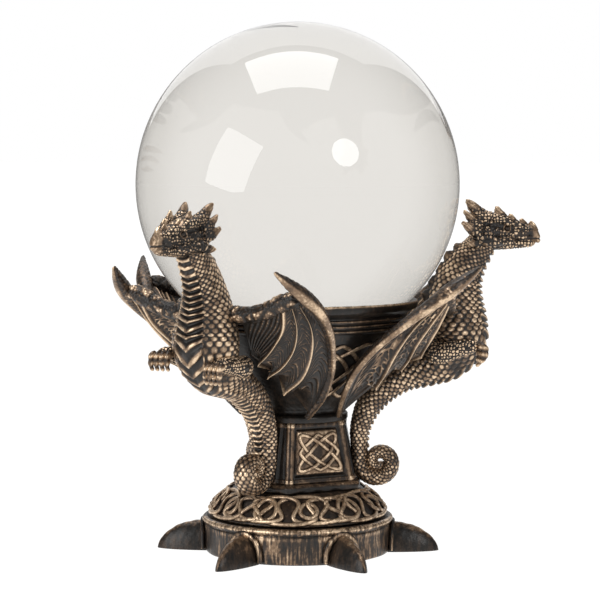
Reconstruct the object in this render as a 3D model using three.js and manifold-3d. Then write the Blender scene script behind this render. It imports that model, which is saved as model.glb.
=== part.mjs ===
// A crystal ball on a three-dragon stand: a solid glass ball rests on a soft ring in a flared cup,
// on a six-sided column, a domed foot and a drum with six talons. Three identical winged dragons
// stand round the cup, 120 degrees apart, with their tails curled at the foot of the column.
// Millimetres, +Z up, origin at the centre of the underside. The front dragon faces -Y.
import * as THREE from "three";
import { mergeVertices } from "three/addons/utils/BufferGeometryUtils.js";
import Module from "manifold-3d";

const wasm = await Module();
wasm.setup();

// ---------------------------------------------------------------- driving dimensions
const GAP = 0.3; // between castings that are glued face to face
const BALL_RADIUS = 55;
const BALL_CENTRE_Z = 125.1;
const RING_INNER = 25;
const RING_OUTER = 29;
const RING_BOTTOM_Z = 73.5;

const FELT_RADIUS = 30.8;
const FELT_TOP_Z = 0.9;
const DRUM_RADIUS = 31.9;
const DRUM_BOTTOM_Z = FELT_TOP_Z + GAP;
const DRUM_TOP_Z = 12.4;
const DOME_BOTTOM_RADIUS = 29;
const DOME_TOP_RADIUS = 20.6;
const DOME_TOP_Z = 22.2;
const FOOT_TOP_Z = 25.2;
const FOOT_CORNER_RADIUS = 23.8;
const COLUMN_BOTTOM_Z = FOOT_TOP_Z + GAP;
const COLUMN_TOP_Z = 45;
const COLUMN_BOTTOM_CORNER = 21;
const COLUMN_TOP_CORNER = 17;
const CUP_BOTTOM_Z = COLUMN_TOP_Z + GAP;
const RIM_Z = 86.3;
const RIM_RADIUS = 41;
const WELL_FLOOR_Z = 62; // the bottom of the bowl, clear of the ball

const PANEL_HALF_ANGLE = (34.7 * Math.PI) / 180; // from the middle of a wide side to its corner
const PANEL_DEPTH = 1.2;
const PANEL_THICKNESS = 0.9;
const TALON_TIP_RADIUS = 48.4;
const TALON_WIDTH = 9.6;
const TALON_HEIGHT = 9.8;
const TALON_COUNT = 6;

const ROUND_SEGMENTS = 24; // round the stand's turned pieces
const DRAGONS = { front: -90, right: 30, left: 150 }; // degrees round the axis, +X at 0
const PANEL_ANGLES = { left_front: -150, right_front: -30, back: 90 };

const CUTTER_SEGMENTS = 2 * ROUND_SEGMENTS;

// ---------------------------------------------------------------- materials
const bronze = new THREE.MeshStandardMaterial({ color: 0x5a4330, roughness: 0.45, metalness: 0.6 });
const darkBronze = new THREE.MeshStandardMaterial({ color: 0x2c2622, roughness: 0.5, metalness: 0.5 });
const glass = new THREE.MeshStandardMaterial({ color: 0xe9e6e1, roughness: 0.02, metalness: 0 });
const blackRubber = new THREE.MeshStandardMaterial({ color: 0x1b1b1b, roughness: 0.8, metalness: 0 });
const blackFelt = new THREE.MeshStandardMaterial({ color: 0x161616, roughness: 1, metalness: 0 });

// ---------------------------------------------------------------- solids
function solid(geometry) {
  const bare = geometry.clone();
  bare.deleteAttribute("normal");
  bare.deleteAttribute("uv");
  const merged = mergeVertices(bare, 1e-4);
  const vertProperties = new Float32Array(merged.attributes.position.array);
  const triVerts = new Uint32Array(merged.index.array);
  return new wasm.Manifold(new wasm.Mesh({ numProp: 3, vertProperties, triVerts }));
}

function geometryOf(manifold) {
  const made = manifold.getMesh();
  const geometry = new THREE.BufferGeometry();
  geometry.setAttribute("position", new THREE.BufferAttribute(made.vertProperties, 3));
  geometry.setIndex(new THREE.BufferAttribute(made.triVerts, 1));
  return geometry;
}

function joined(manifolds) {
  return manifolds.reduce((whole, piece) => whole.add(piece));
}

// A turned piece about Z, from [radius, z] points that start and end on the axis or close a loop.
function turned(profile, segments = ROUND_SEGMENTS) {
  const points = profile.map(([radius, z]) => new THREE.Vector2(radius, z));
  return new THREE.LatheGeometry(points, segments).rotateX(Math.PI / 2);
}

// A frustum about Z with six flat sides: three wide ones for the panels, and three narrower ones
// between them, behind the dragons.
function sixSided(bottomRadius, topRadius, bottomZ, topZ) {
  const height = topZ - bottomZ;
  const geometry = new THREE.CylinderGeometry(topRadius, bottomRadius, height, 6)
    .rotateX(Math.PI / 2)
    .rotateZ(Math.PI / 2)
    .translate(0, 0, bottomZ + height / 2);
  const position = geometry.attributes.position;
  for (let i = 0; i < position.count; i++) {
    const radius = Math.hypot(position.getX(i), position.getY(i));
    const angle = Math.atan2(position.getY(i), position.getX(i));
    const corner = Math.round(angle / (Math.PI / 3));
    const swing = (corner % 2 === 0 ? 1 : -1) * (PANEL_HALF_ANGLE - Math.PI / 6);
    position.setXY(i, radius * Math.cos(angle + swing), radius * Math.sin(angle + swing));
  }
  return geometry;
}

// A closed tube through the points [x, y, z, depth, width]: its section is an ellipse whose
// half-width lies along side and whose half-depth lies square to side and to the path.
function limb(points, { side, around = 8, along = 12, grow = 0 }) {
  const path = new THREE.CatmullRomCurve3(points.map((p) => new THREE.Vector3(p[0], p[1], p[2])));
  const sizes = new THREE.CatmullRomCurve3(points.map((p) => new THREE.Vector3(p[3], p[4], 0)));
  const geometry = new THREE.CylinderGeometry(1, 1, 1, around, along);
  const position = geometry.attributes.position;
  for (let i = 0; i < position.count; i++) {
    const t = THREE.MathUtils.clamp(0.5 - position.getY(i), 0, 1);
    const tangent = path.getTangent(t);
    const depthWay = new THREE.Vector3().crossVectors(side, tangent).normalize();
    const widthWay = new THREE.Vector3().crossVectors(tangent, depthWay);
    const size = sizes.getPoint(t);
    const vertex = path
      .getPoint(t)
      .addScaledVector(depthWay, position.getX(i) * (size.x + grow))
      .addScaledVector(widthWay, -position.getZ(i) * (size.y + grow))
      .addScaledVector(tangent, t === 0 ? -grow : t === 1 ? grow : 0);
    position.setXYZ(i, vertex.x, vertex.y, vertex.z);
  }
  return facingOut(solid(geometry), geometry);
}

// The same solid with its faces turned round if they point inwards.
function facingOut(made, geometry) {
  if (made.volume() > 0) return made;
  const index = geometry.index.array;
  for (let i = 0; i < index.length; i += 3) [index[i + 1], index[i + 2]] = [index[i + 2], index[i + 1]];
  return solid(geometry);
}

function spike(base, tip, radius, sides = 5) {
  const from = new THREE.Vector3(...base);
  const to = new THREE.Vector3(...tip);
  const way = new THREE.Vector3().subVectors(to, from);
  const geometry = new THREE.ConeGeometry(radius, way.length(), sides);
  const turn = new THREE.Quaternion().setFromUnitVectors(new THREE.Vector3(0, 1, 0), way.clone().normalize());
  geometry.applyQuaternion(turn).translate(...from.addScaledVector(way, 0.5).toArray());
  return solid(geometry);
}

const mirrored = (points) => points.map(([x, y, ...rest]) => [x, -y, ...rest]);

function mesh(name, geometry, material) {
  const made = new THREE.Mesh(geometry, material);
  made.name = name;
  return made;
}

// ---------------------------------------------------------------- ball and its ring
// The height of the ball's lower surface at a distance from the axis, less a clearance.
function underBall(radius, clearance = 0) {
  return BALL_CENTRE_Z - Math.sqrt((BALL_RADIUS + clearance) ** 2 - radius ** 2);
}

function ballGeometry() {
  return new THREE.SphereGeometry(BALL_RADIUS, 30, 16)
    .rotateX(Math.PI / 2)
    .translate(0, 0, BALL_CENTRE_Z);
}

function ringGeometry() {
  return turned([
    [RING_INNER, RING_BOTTOM_Z],
    [RING_OUTER, RING_BOTTOM_Z],
    [RING_OUTER, underBall(RING_OUTER, GAP)],
    [RING_INNER, underBall(RING_INNER, GAP)],
    [RING_INNER, RING_BOTTOM_Z],
  ]);
}

// ---------------------------------------------------------------- stand
// The outside of the cup, from its collar on the column up to the rim, as [radius, z].
const CUP_OUTSIDE = [
  [17.2, CUP_BOTTOM_Z],
  [17.2, 47.6],
  [15.4, 48.6],
  [16.2, 51],
  [21.5, 57.5],
  [27.5, 65.5],
  [33.2, 73.5],
  [35.4, 77],
  [37.2, 77.6],
  [37.2, 79],
  [36.9, 79.2],
  [38, 80.6],
  [38, 82],
  [38.8, 82.8],
  [RIM_RADIUS, 83.4],
  [RIM_RADIUS, RIM_Z],
];

function cupGeometry() {
  const bowlClearance = 1;
  const grooveOuter = RING_OUTER + 0.5;
  const grooveInner = RING_INNER - 0.5;
  const grooveFloor = RING_BOTTOM_Z - GAP;
  const bowlTop = 39.5;
  return turned([
    [0, CUP_BOTTOM_Z],
    ...CUP_OUTSIDE,
    [bowlTop, RIM_Z],
    [36, underBall(36, bowlClearance)],
    [grooveOuter, underBall(grooveOuter, bowlClearance)],
    [grooveOuter, grooveFloor],
    [grooveInner, grooveFloor],
    [20, 68.6],
    [14, 64.6],
    [0, WELL_FLOOR_Z],
  ]);
}

function columnSolid() {
  const shaft = solid(sixSided(COLUMN_BOTTOM_CORNER, COLUMN_TOP_CORNER, COLUMN_BOTTOM_Z, COLUMN_TOP_Z));
  const recesses = Object.values(PANEL_ANGLES).map((angle) => solid(panelPlate(angle, -PANEL_DEPTH, 1, 0)));
  return recesses.reduce((left, recess) => left.subtract(recess), shaft);
}

// A tapered plate on one side of the column, from inner to outer along the side's own normal,
// drawn in by inset all round.
function panelPlate(angle, inner, outer, inset) {
  const toSide = Math.cos(PANEL_HALF_ANGLE);
  const lean = Math.atan2((COLUMN_BOTTOM_CORNER - COLUMN_TOP_CORNER) * toSide, COLUMN_TOP_Z - COLUMN_BOTTOM_Z);
  const edge = 1.7 + inset;
  const bottom = 2 + inset;
  const top = (COLUMN_TOP_Z - COLUMN_BOTTOM_Z) / Math.cos(lean) - 1.6 - inset;
  const cornerRadius = (height) =>
    THREE.MathUtils.lerp(COLUMN_BOTTOM_CORNER, COLUMN_TOP_CORNER, height / (top + bottom));
  const halfWidth = (height) => cornerRadius(height) * Math.sin(PANEL_HALF_ANGLE) - edge;
  const outline = new THREE.Shape([
    new THREE.Vector2(-halfWidth(bottom), bottom),
    new THREE.Vector2(halfWidth(bottom), bottom),
    new THREE.Vector2(halfWidth(top), top),
    new THREE.Vector2(-halfWidth(top), top),
  ]);
  return new THREE.ExtrudeGeometry(outline, { depth: outer - inner, bevelEnabled: false })
    .translate(0, 0, inner)
    .rotateX(Math.PI / 2 - lean)
    .translate(0, -COLUMN_BOTTOM_CORNER * toSide, COLUMN_BOTTOM_Z)
    .rotateZ(THREE.MathUtils.degToRad(angle + 90));
}

const FOOT_CHAMFER = 0.6;

function footGeometry() {
  return sixSided(FOOT_CORNER_RADIUS, FOOT_CORNER_RADIUS - FOOT_CHAMFER, DOME_TOP_Z + GAP, FOOT_TOP_Z);
}

// Points up the dome's rounded flank, a swollen slope, moved outwards by out.
function domeFlank(bottomZ, topZ, out, count = 5) {
  const swell = 1.1;
  return Array.from({ length: count }, (_, i) => {
    const share = i / (count - 1);
    const bulge = swell * Math.sin(Math.PI * share);
    const radius = THREE.MathUtils.lerp(DOME_BOTTOM_RADIUS, DOME_TOP_RADIUS, share) + bulge + out;
    return [radius, THREE.MathUtils.lerp(bottomZ, topZ, share) + bulge];
  });
}

function domeGeometry() {
  const bottomZ = DRUM_TOP_Z + GAP;
  const flank = domeFlank(bottomZ, DOME_TOP_Z - 1, 0);
  return turned([[0, bottomZ], ...flank, [DOME_TOP_RADIUS, DOME_TOP_Z], [0, DOME_TOP_Z]]);
}

const BAND_THICKNESS = 1.3;

function bandGeometry() {
  const bottomZ = DRUM_TOP_Z + GAP;
  const topZ = DOME_TOP_Z - 0.8;
  const inside = domeFlank(bottomZ, topZ, GAP);
  const outside = domeFlank(bottomZ, topZ, GAP + BAND_THICKNESS);
  return turned([...outside, ...inside.reverse(), outside[0]]);
}

function drumGeometry() {
  return turned([
    [0, DRUM_BOTTOM_Z],
    [DRUM_RADIUS, DRUM_BOTTOM_Z],
    [DRUM_RADIUS, 9.6],
    [32.5, 10.2],
    [32.8, 11.1],
    [32.4, 12],
    [31.6, DRUM_TOP_Z],
    [0, DRUM_TOP_Z],
  ]);
}

function feltGeometry() {
  return turned([
    [0, 0],
    [FELT_RADIUS, 0],
    [FELT_RADIUS, FELT_TOP_Z],
    [0, FELT_TOP_Z],
  ]);
}

// A talon along +X: an arched horn with a flat underside, cut to the drum behind it.
function talonSolid() {
  const root = DRUM_RADIUS - 2;
  const tipRadius = 1.2;
  const horn = limb(
    [
      [root, 0, 0, TALON_HEIGHT, TALON_WIDTH / 2],
      [root + 5, 0, 0, TALON_HEIGHT, TALON_WIDTH / 2],
      [root + 11, 0, 0, TALON_HEIGHT * 0.82, TALON_WIDTH * 0.42],
      [root + 15.5, 0, 0, TALON_HEIGHT * 0.52, TALON_WIDTH * 0.3],
      [TALON_TIP_RADIUS, 0, 0, tipRadius, tipRadius],
    ],
    { side: ACROSS, around: 12, along: 5 },
  );
  const below = solid(new THREE.BoxGeometry(80, 40, 20).translate(40, 0, -10));
  const drum = solid(turned([[0, -1], [DRUM_RADIUS + GAP, -1], [DRUM_RADIUS + GAP, 20], [0, 20]], CUTTER_SEGMENTS));
  return horn.subtract(below).subtract(drum);
}

// What the dragons are cut back to: the cup, column and foot, larger by the gap.
function standCutter() {
  const cup = [[0, CUP_BOTTOM_Z - 1], ...CUP_OUTSIDE.map(([r, z]) => [r + GAP, z]), [0, RIM_Z]];
  const shaft = [COLUMN_BOTTOM_CORNER + GAP * 2, COLUMN_TOP_CORNER + GAP * 2, COLUMN_BOTTOM_Z, COLUMN_TOP_Z + 1];
  const foot = [FOOT_CORNER_RADIUS + GAP * 2, FOOT_CORNER_RADIUS + GAP * 2, DOME_TOP_Z, FOOT_TOP_Z + GAP];
  return joined([solid(turned(cup, CUTTER_SEGMENTS)), solid(sixSided(...shaft)), solid(sixSided(...foot))]);
}

// ---------------------------------------------------------------- dragon
// A dragon is drawn facing +X, with its left side at +Y and the ball's axis at X = 0.
const ACROSS = new THREE.Vector3(0, 1, 0);
const UP = new THREE.Vector3(0, 0, 1);

// The tail's curl, seen from the side: an inward spiral, as [x, 0, z, depth, width].
function tailCurl() {
  const [centreX, centreZ, startRadius, sweep] = [27.9, 30.6, 6.7, 400];
  const steps = 12;
  return Array.from({ length: steps }, (_, i) => {
    const share = i / (steps - 1);
    const angle = THREE.MathUtils.degToRad(180 + sweep * share);
    const radius = startRadius * (1 - 0.68 * share - 0.1 * share ** 3);
    return [
      centreX + radius * Math.cos(angle),
      0,
      centreZ + radius * Math.sin(angle),
      THREE.MathUtils.lerp(2.75, 1, share ** 1.6),
      THREE.MathUtils.lerp(4.4, 2, share),
    ];
  });
}

// The neck, chest, belly and tail from the head down, as [x, y, z, depth, width].
const SPINE = [
  [63, 0, 106, 4.6, 4.4],
  [60.6, 0, 102.6, 5.3, 4.9],
  [57.4, 0, 98, 6.4, 5.4],
  [54.9, 0, 92.5, 7.7, 6],
  [53.6, 0, 86, 9.3, 7.6],
  [53.5, 0, 79, 10.6, 9],
  [53.3, 0, 72.5, 10.8, 9.2],
  [50.2, 0, 67.1, 8.7, 8.6],
  [44, 0, 63.5, 6.8, 7.6],
  [36, 0, 60, 5.5, 6.6],
  [29, 0, 55.2, 5, 6],
  [23.8, 0, 48.7, 4.2, 5.5],
  [21.2, 0, 41, 3.1, 5],
  [21.2, 0, 35.8, 2.8, 4.7],
  ...tailCurl(),
];

const HEAD = [
  [58.6, 0, 110.4, 1.6, 2],
  [60.4, 0, 110.3, 5.2, 4.8],
  [64.5, 0, 109.8, 7, 6.1],
  [69, 0, 109.6, 6.5, 5.6],
  [73.5, 0, 109.2, 5.1, 4.5],
  [77.3, 0, 108.3, 4.3, 3.8],
  [80.2, 0, 107.7, 3.6, 3.3],
  [81.5, 0, 107.2, 1.8, 1.8],
];

// Spikes on the left half of the head, as base, tip, radius. Each has a twin on the right.
const HEAD_SPIKES = [
  [[63.5, 3.6, 113.4], [57, 5.6, 120.4], 2.3],
  [[61.5, 5, 110.5], [55.5, 7.4, 112.6], 1.8],
  [[67.4, 3, 113.8], [68, 3.6, 118.6], 1.7],
];
const NOSE_HORN = [[78.6, 0, 111], [79.6, 0, 114], 1.3];

// The wing's arm from the shoulder to the wrist, and its leading finger from the thumb claw down
// to the column, on the left side, as [x, y, z, depth, width].
const WING_ARM = [
  [50, 4, 84.5, 3.1, 3],
  [50.4, 12, 84.3, 2.9, 2.8],
  [50.6, 20, 85.6, 2.7, 2.6],
  [50.4, 28, 89, 2.9, 2.8],
  [50.2, 33.5, 90.6, 2.6, 2.4],
];
const WING_FINGER = [
  [61.3, 31.2, 99, 0.5, 0.5],
  [56, 33.5, 95, 1.9, 1.8],
  [50.5, 35.4, 91, 2.7, 2.4],
  [44.8, 36.4, 86.8, 2.3, 2],
  [35.4, 34.4, 79.6, 1.8, 1.6],
  [26.7, 30.2, 72, 1.5, 1.4],
  [20.4, 26, 64, 1.3, 1.3],
  [16.8, 20.6, 55.6, 1.2, 1.2],
  [14.6, 13, 47.6, 0.9, 0.9],
];

// The webbing hangs between these lines, from the arm or wrist down to its trailing edge: along the
// flank, down three thin fingers, and down the leading finger.
const WEB_LINES = [
  [[50, 10.6, 84.6], [48.4, 11, 80.6], [46.8, 11.2, 77], [45.8, 11.4, 74], [45.2, 11.6, 71]],
  [[50.4, 28, 87.6], [47.4, 25.6, 80.6], [44.6, 20.4, 75], [42.6, 16, 71.4], [41.4, 11.4, 68.4]],
  [[50.2, 30.4, 88.4], [44.8, 28.4, 80.4], [40.2, 24.4, 73.6], [37, 18, 67.4], [34.6, 10.8, 63.6]],
  [[49.4, 32.6, 89.2], [40.6, 31, 81], [34.8, 27.6, 72.8], [29.8, 21, 63.6], [26, 11.6, 57.4]],
  [[48.6, 35.4, 89.6], [36.4, 33.6, 80], [26.7, 29.6, 71.6], [19.6, 24, 61.6], [15, 14.6, 49.4]],
];
const WEB_THICKNESS = 1.1;
const SCALLOP = 0.16; // how far the trailing edge is drawn up between two fingers

function webSolid(lines, grow) {
  const columns = (lines.length - 1) * 2;
  const rows = 5;
  const curves = lines.map((line) => new THREE.CatmullRomCurve3(line.map((p) => new THREE.Vector3(...p))));
  const pointAt = (across, down) => {
    const drawnUp = SCALLOP * Math.sin(Math.PI * (across % 1));
    const along = down * (1 - drawnUp);
    const through = new THREE.CatmullRomCurve3(curves.map((curve) => curve.getPoint(along)));
    return through.getPoint(across / (lines.length - 1));
  };
  const geometry = new THREE.BoxGeometry(1, 1, 1, columns, rows, 1);
  const position = geometry.attributes.position;
  const step = 0.02;
  for (let i = 0; i < position.count; i++) {
    const across = (position.getX(i) + 0.5) * (lines.length - 1);
    const down = 0.5 - position.getY(i);
    const here = pointAt(across, down);
    const acrossWay = pointAt(across + (across < 1 ? step : -step), down).sub(here);
    if (across >= 1) acrossWay.negate();
    const downWay = pointAt(across, down + (down < 0.5 ? step : -step)).sub(here);
    if (down >= 0.5) downWay.negate();
    const normal = acrossWay.cross(downWay).normalize();
    const vertex = here.addScaledVector(normal, position.getZ(i) * (WEB_THICKNESS + 2 * grow));
    position.setXYZ(i, vertex.x, vertex.y, vertex.z);
  }
  return facingOut(solid(geometry), geometry);
}

function wingSolid(hand, grow = 0) {
  const own = hand === "left" ? (points) => points : mirrored;
  return joined([
    limb(own(WING_ARM), { side: UP, around: 6, along: 5, grow }),
    limb(own(WING_FINGER), { side: UP, around: 6, along: 10, grow }),
    webSolid(WEB_LINES.map(own), grow),
  ]);
}

// Forelegs, from the elbow to the knuckles, and the four toes of each paw.
const FORELEGS = {
  left: {
    leg: [
      [46, 9.6, 66.6, 2.6, 2.4],
      [50, 10.8, 66.8, 3.1, 2.8],
      [56, 10.6, 68.2, 2.7, 2.5],
      [61, 9.6, 68, 2.5, 2.9],
    ],
    knuckle: [61.6, 9.4, 67.4],
    reach: [1.6, -0.8, -6],
    spread: [0.3, 2.2, 0],
  },
  right: {
    leg: [
      [46, -10, 68.4, 2.6, 2.4],
      [50, -11.4, 69, 3.1, 2.8],
      [56, -11.8, 70.4, 2.7, 2.5],
      [61, -11.8, 71.2, 2.5, 2.9],
    ],
    knuckle: [61.4, -11.8, 70.8],
    reach: [1.6, -0.6, -5.4],
    spread: [0.6, -2, 0],
  },
};
const TOES = 4;

function forelegSolid(hand) {
  const { leg, knuckle, reach, spread } = FORELEGS[hand];
  const from = new THREE.Vector3(...knuckle);
  const toes = Array.from({ length: TOES }, (_, i) => {
    const start = from.clone().addScaledVector(new THREE.Vector3(...spread), (i - (TOES - 1) / 2) * 0.85);
    const halfWay = new THREE.Vector3(...reach).multiplyScalar(0.5).add(new THREE.Vector3(1, 0, 0.8));
    const middle = start.clone().add(halfWay);
    const end = start.clone().add(new THREE.Vector3(...reach));
    return limb(
      [
        [...start.toArray(), 1.2, 1.1],
        [...middle.toArray(), 1.1, 1],
        [...end.toArray(), 0.5, 0.5],
      ],
      { side: ACROSS, around: 4, along: 2 },
    );
  });
  return joined([limb(leg, { side: ACROSS, around: 7, along: 4 }), ...toes]);
}

function bodySolid(grow = 0) {
  return limb(SPINE, { side: ACROSS, around: 10, along: 42, grow });
}

function headSolid() {
  const spikes = HEAD_SPIKES.flatMap(([base, tip, radius]) => [
    spike(base, tip, radius),
    spike([base[0], -base[1], base[2]], [tip[0], -tip[1], tip[2]], radius),
  ]);
  const skull = limb(HEAD, { side: ACROSS, around: 8, along: 7 });
  return joined([skull, spike(...NOSE_HORN), ...spikes]);
}

// ---------------------------------------------------------------- assembly
const crystalBallOnStand = new THREE.Group();

const cutter = standCutter();
const bodyCutter = bodySolid(GAP);
const dragonPieces = {
  body: geometryOf(bodySolid().subtract(cutter)),
  head: geometryOf(headSolid().subtract(bodyCutter)),
};
for (const hand of ["left", "right"]) {
  const wing = wingSolid(hand).subtract(bodyCutter).subtract(cutter);
  const foreleg = forelegSolid(hand).subtract(bodyCutter).subtract(wingSolid(hand, GAP));
  dragonPieces[hand + "_wing"] = geometryOf(largest(wing));
  dragonPieces[hand + "_foreleg"] = geometryOf(largest(foreleg));
}

// The largest of a solid's separate bodies: what a cut leaves behind the cup is dropped.
function largest(manifold) {
  return manifold.decompose().sort((a, b) => b.volume() - a.volume())[0];
}

for (const [place, angle] of Object.entries(DRAGONS)) {
  const dragon = new THREE.Group();
  dragon.rotation.z = THREE.MathUtils.degToRad(angle);
  for (const [piece, geometry] of Object.entries(dragonPieces)) {
    dragon.add(mesh(`${place}_dragon_${piece}`, geometry, bronze));
  }
  crystalBallOnStand.add(dragon);
}

const talon = geometryOf(talonSolid());
for (let i = 0; i < TALON_COUNT; i++) {
  const made = mesh(`talon_${i + 1}`, talon, darkBronze);
  made.rotation.z = THREE.MathUtils.degToRad(-90 + (i * 360) / TALON_COUNT);
  crystalBallOnStand.add(made);
}

for (const [place, angle] of Object.entries(PANEL_ANGLES)) {
  const plate = panelPlate(angle, -PANEL_DEPTH + GAP, -PANEL_DEPTH + GAP + PANEL_THICKNESS, GAP);
  crystalBallOnStand.add(mesh(`${place}_knot_panel`, plate, bronze));
}

crystalBallOnStand.add(
  mesh("crystal_ball", ballGeometry(), glass),
  mesh("seat_ring", ringGeometry(), blackRubber),
  mesh("support_cup", cupGeometry(), darkBronze),
  mesh("column", geometryOf(columnSolid()), darkBronze),
  mesh("column_foot", footGeometry(), darkBronze),
  mesh("base_dome", domeGeometry(), darkBronze),
  mesh("knotwork_band", bandGeometry(), bronze),
  mesh("base_drum", drumGeometry(), darkBronze),
  mesh("felt_pad", feltGeometry(), blackFelt),
);

export default crystalBallOnStand;
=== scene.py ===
"""A clear glass ball on an antique-bronze stand of three winged dragons.

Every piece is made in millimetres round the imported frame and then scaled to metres. A dragon is
drawn once, facing +X with its left side at +Y, and turned to its three places round the stand.
"""

import math

import bpy
import numpy as np
from mathutils import Matrix, Quaternion, Vector


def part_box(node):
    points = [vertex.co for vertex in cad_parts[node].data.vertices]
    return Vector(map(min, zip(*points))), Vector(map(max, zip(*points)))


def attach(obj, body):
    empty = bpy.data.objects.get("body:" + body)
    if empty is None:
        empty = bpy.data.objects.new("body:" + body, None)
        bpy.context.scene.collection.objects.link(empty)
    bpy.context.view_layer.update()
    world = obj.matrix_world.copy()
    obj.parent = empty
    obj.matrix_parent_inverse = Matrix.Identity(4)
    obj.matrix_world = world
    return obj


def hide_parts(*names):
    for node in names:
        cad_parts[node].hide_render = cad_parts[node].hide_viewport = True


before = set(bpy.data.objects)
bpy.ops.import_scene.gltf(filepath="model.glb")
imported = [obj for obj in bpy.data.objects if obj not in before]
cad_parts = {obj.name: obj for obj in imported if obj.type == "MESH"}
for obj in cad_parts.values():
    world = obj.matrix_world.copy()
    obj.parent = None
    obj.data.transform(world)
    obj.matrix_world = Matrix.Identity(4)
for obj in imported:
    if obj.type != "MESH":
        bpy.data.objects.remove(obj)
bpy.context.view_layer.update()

MM = 0.001
DRAGON_TURNS = {"front": -90, "right": 30, "left": 150}
PANEL_TURNS = {"left_front": -150, "right_front": -30, "back": 90}
TALON_COUNT = 6


def node_mm(node):
    """The lowest and highest corner of a CAD node, in millimetres."""
    low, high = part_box(node)
    return np.array(low) / MM, np.array(high) / MM


BALL_LOW, BALL_HIGH = node_mm("crystal_ball")
BALL_RADIUS = (BALL_HIGH[2] - BALL_LOW[2]) / 2
BALL_CENTRE_Z = (BALL_HIGH[2] + BALL_LOW[2]) / 2
CUP_LOW = node_mm("support_cup")[0]
COLUMN_LOW, COLUMN_HIGH = node_mm("column")
FOOT_LOW, FOOT_HIGH = node_mm("column_foot")
DOME_LOW, DOME_HIGH = node_mm("base_dome")
DRUM_LOW, DRUM_HIGH = node_mm("base_drum")
FELT_HIGH = node_mm("felt_pad")[1]
TALON_LOW, TALON_HIGH = node_mm("talon_1")
DRUM_RADIUS = 31.9
GLASS_GAP = 0.25
BOWL_GAP = 1.0
# The radius of the pinhole at which a turned profile starts and ends.
PINHOLE = 0.05


# ---------------------------------------------------------------- numbers
def mix(a, b, share):
    return a + (b - a) * share


def smooth(low, high, value):
    share = np.clip((value - low) / (high - low), 0, 1)
    return share * share * (3 - 2 * share)


def bell(value, width):
    """1 where the value is 0, falling off to both sides over that width."""
    return np.exp(-((value / width) ** 2))


def unit(vectors):
    return vectors / np.maximum(np.linalg.norm(vectors, axis=-1, keepdims=True), 1e-9)


def cylindrical(radius, angle, z):
    """Places at that radius, angle and height."""
    return np.stack(np.broadcast_arrays(radius * np.cos(angle), radius * np.sin(angle), z), axis=-1)


def along_segment(places, start, end):
    """Each place's share of the way from start to end, and its distance from that segment."""
    way = end - start
    share = (places - start) @ way / (way @ way)
    nearest = start + np.clip(share, 0, 1)[:, None] * way
    return share, np.linalg.norm(places - nearest, axis=1)


def spline(points, count):
    """count rows evenly spaced along the centripetal Catmull-Rom curve through points.

    The first three columns are the place; any further ones, such as sizes, are carried along.
    """
    p = np.array(points, float)
    p = np.vstack([2 * p[0] - p[1], p, 2 * p[-1] - p[-2]])
    gaps = np.sqrt(np.maximum(np.linalg.norm(np.diff(p[:, :3], axis=0), axis=1), 1e-6))
    rows = []
    share = np.linspace(0, 1, 24, endpoint=False)[:, None]
    for i in range(1, len(p) - 2):
        before, here, after = gaps[i - 1], gaps[i], gaps[i + 1]
        way = (p[i + 1] - p[i]) / here
        leave = ((p[i] - p[i - 1]) / before - (p[i + 1] - p[i - 1]) / (before + here) + way) * here
        arrive = (way - (p[i + 2] - p[i]) / (here + after) + (p[i + 2] - p[i + 1]) / after) * here
        span = p[i + 1] - p[i]
        cubic = leave + arrive - 2 * span
        square = 3 * span - 2 * leave - arrive
        rows.append(p[i] + leave * share + square * share**2 + cubic * share**3)
    rows.append(p[-2][None])
    rows = np.vstack(rows)
    walked = np.concatenate([[0], np.cumsum(np.linalg.norm(np.diff(rows[:, :3], axis=0), axis=1))])
    stops = np.linspace(0, walked[-1], count)
    return np.stack([np.interp(stops, walked, column) for column in rows.T], axis=1)


def lattice_noise(cells, seed):
    """Three numbers from 0 to 1 for each row of whole-number cell places, always the same."""
    mixed = cells[..., 0] * 73856093 ^ cells[..., 1] * 19349663 ^ cells[..., 2] * 83492791
    mixed = (mixed + seed * 2654435761) & 0xFFFFFFFF
    numbers = []
    for _ in range(3):
        mixed = (mixed * 1664525 + 1013904223) & 0xFFFFFFFF
        numbers.append(((mixed >> 8) & 0xFFFF) / 65535)
    return np.stack(numbers, axis=-1)


def pebbles(places, size, jitter, seed):
    """1 in the middle of each rounded cell and 0 at the borders between cells."""
    spots = places / size
    base = np.floor(spots).astype(np.int64)
    nearest = np.full(places.shape[:-1], 9.0)
    second = np.full(places.shape[:-1], 9.0)
    for offset in np.ndindex(3, 3, 3):
        cell = base + np.array(offset) - 1
        centre = cell + 0.5 + (lattice_noise(cell, seed) - 0.5) * jitter
        distance = np.linalg.norm(spots - centre, axis=-1)
        second = np.minimum(second, np.maximum(nearest, distance))
        nearest = np.minimum(nearest, distance)
    return smooth(0.0, 0.42, second - nearest)


# ---------------------------------------------------------------- meshes
class Shell:
    """Vertices in millimetres, faces, and how much each vertex is rubbed to gold."""

    def __init__(self, places, faces, gold=0.0):
        self.places = np.asarray(places, float)
        self.faces = [tuple(face) for face in faces]
        self.gold = np.broadcast_to(np.asarray(gold, float), (len(self.places),)).copy()

    def turned(self, degrees):
        """The shell turned about Z."""
        c, s = math.cos(math.radians(degrees)), math.sin(math.radians(degrees))
        turn = np.array([[c, -s, 0], [s, c, 0], [0, 0, 1]])
        return Shell(self.places @ turn.T, self.faces, self.gold)

    def mirrored(self):
        flipped = self.places * np.array([1, -1, 1])
        return Shell(flipped, [face[::-1] for face in self.faces], self.gold)


def joined(shells):
    places, faces, gold, start = [], [], [], 0
    for shell in shells:
        places.append(shell.places)
        gold.append(shell.gold)
        faces.extend(tuple(i + start for i in face) for face in shell.faces)
        start += len(shell.places)
    return Shell(np.vstack(places), faces, np.concatenate(gold))


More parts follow.
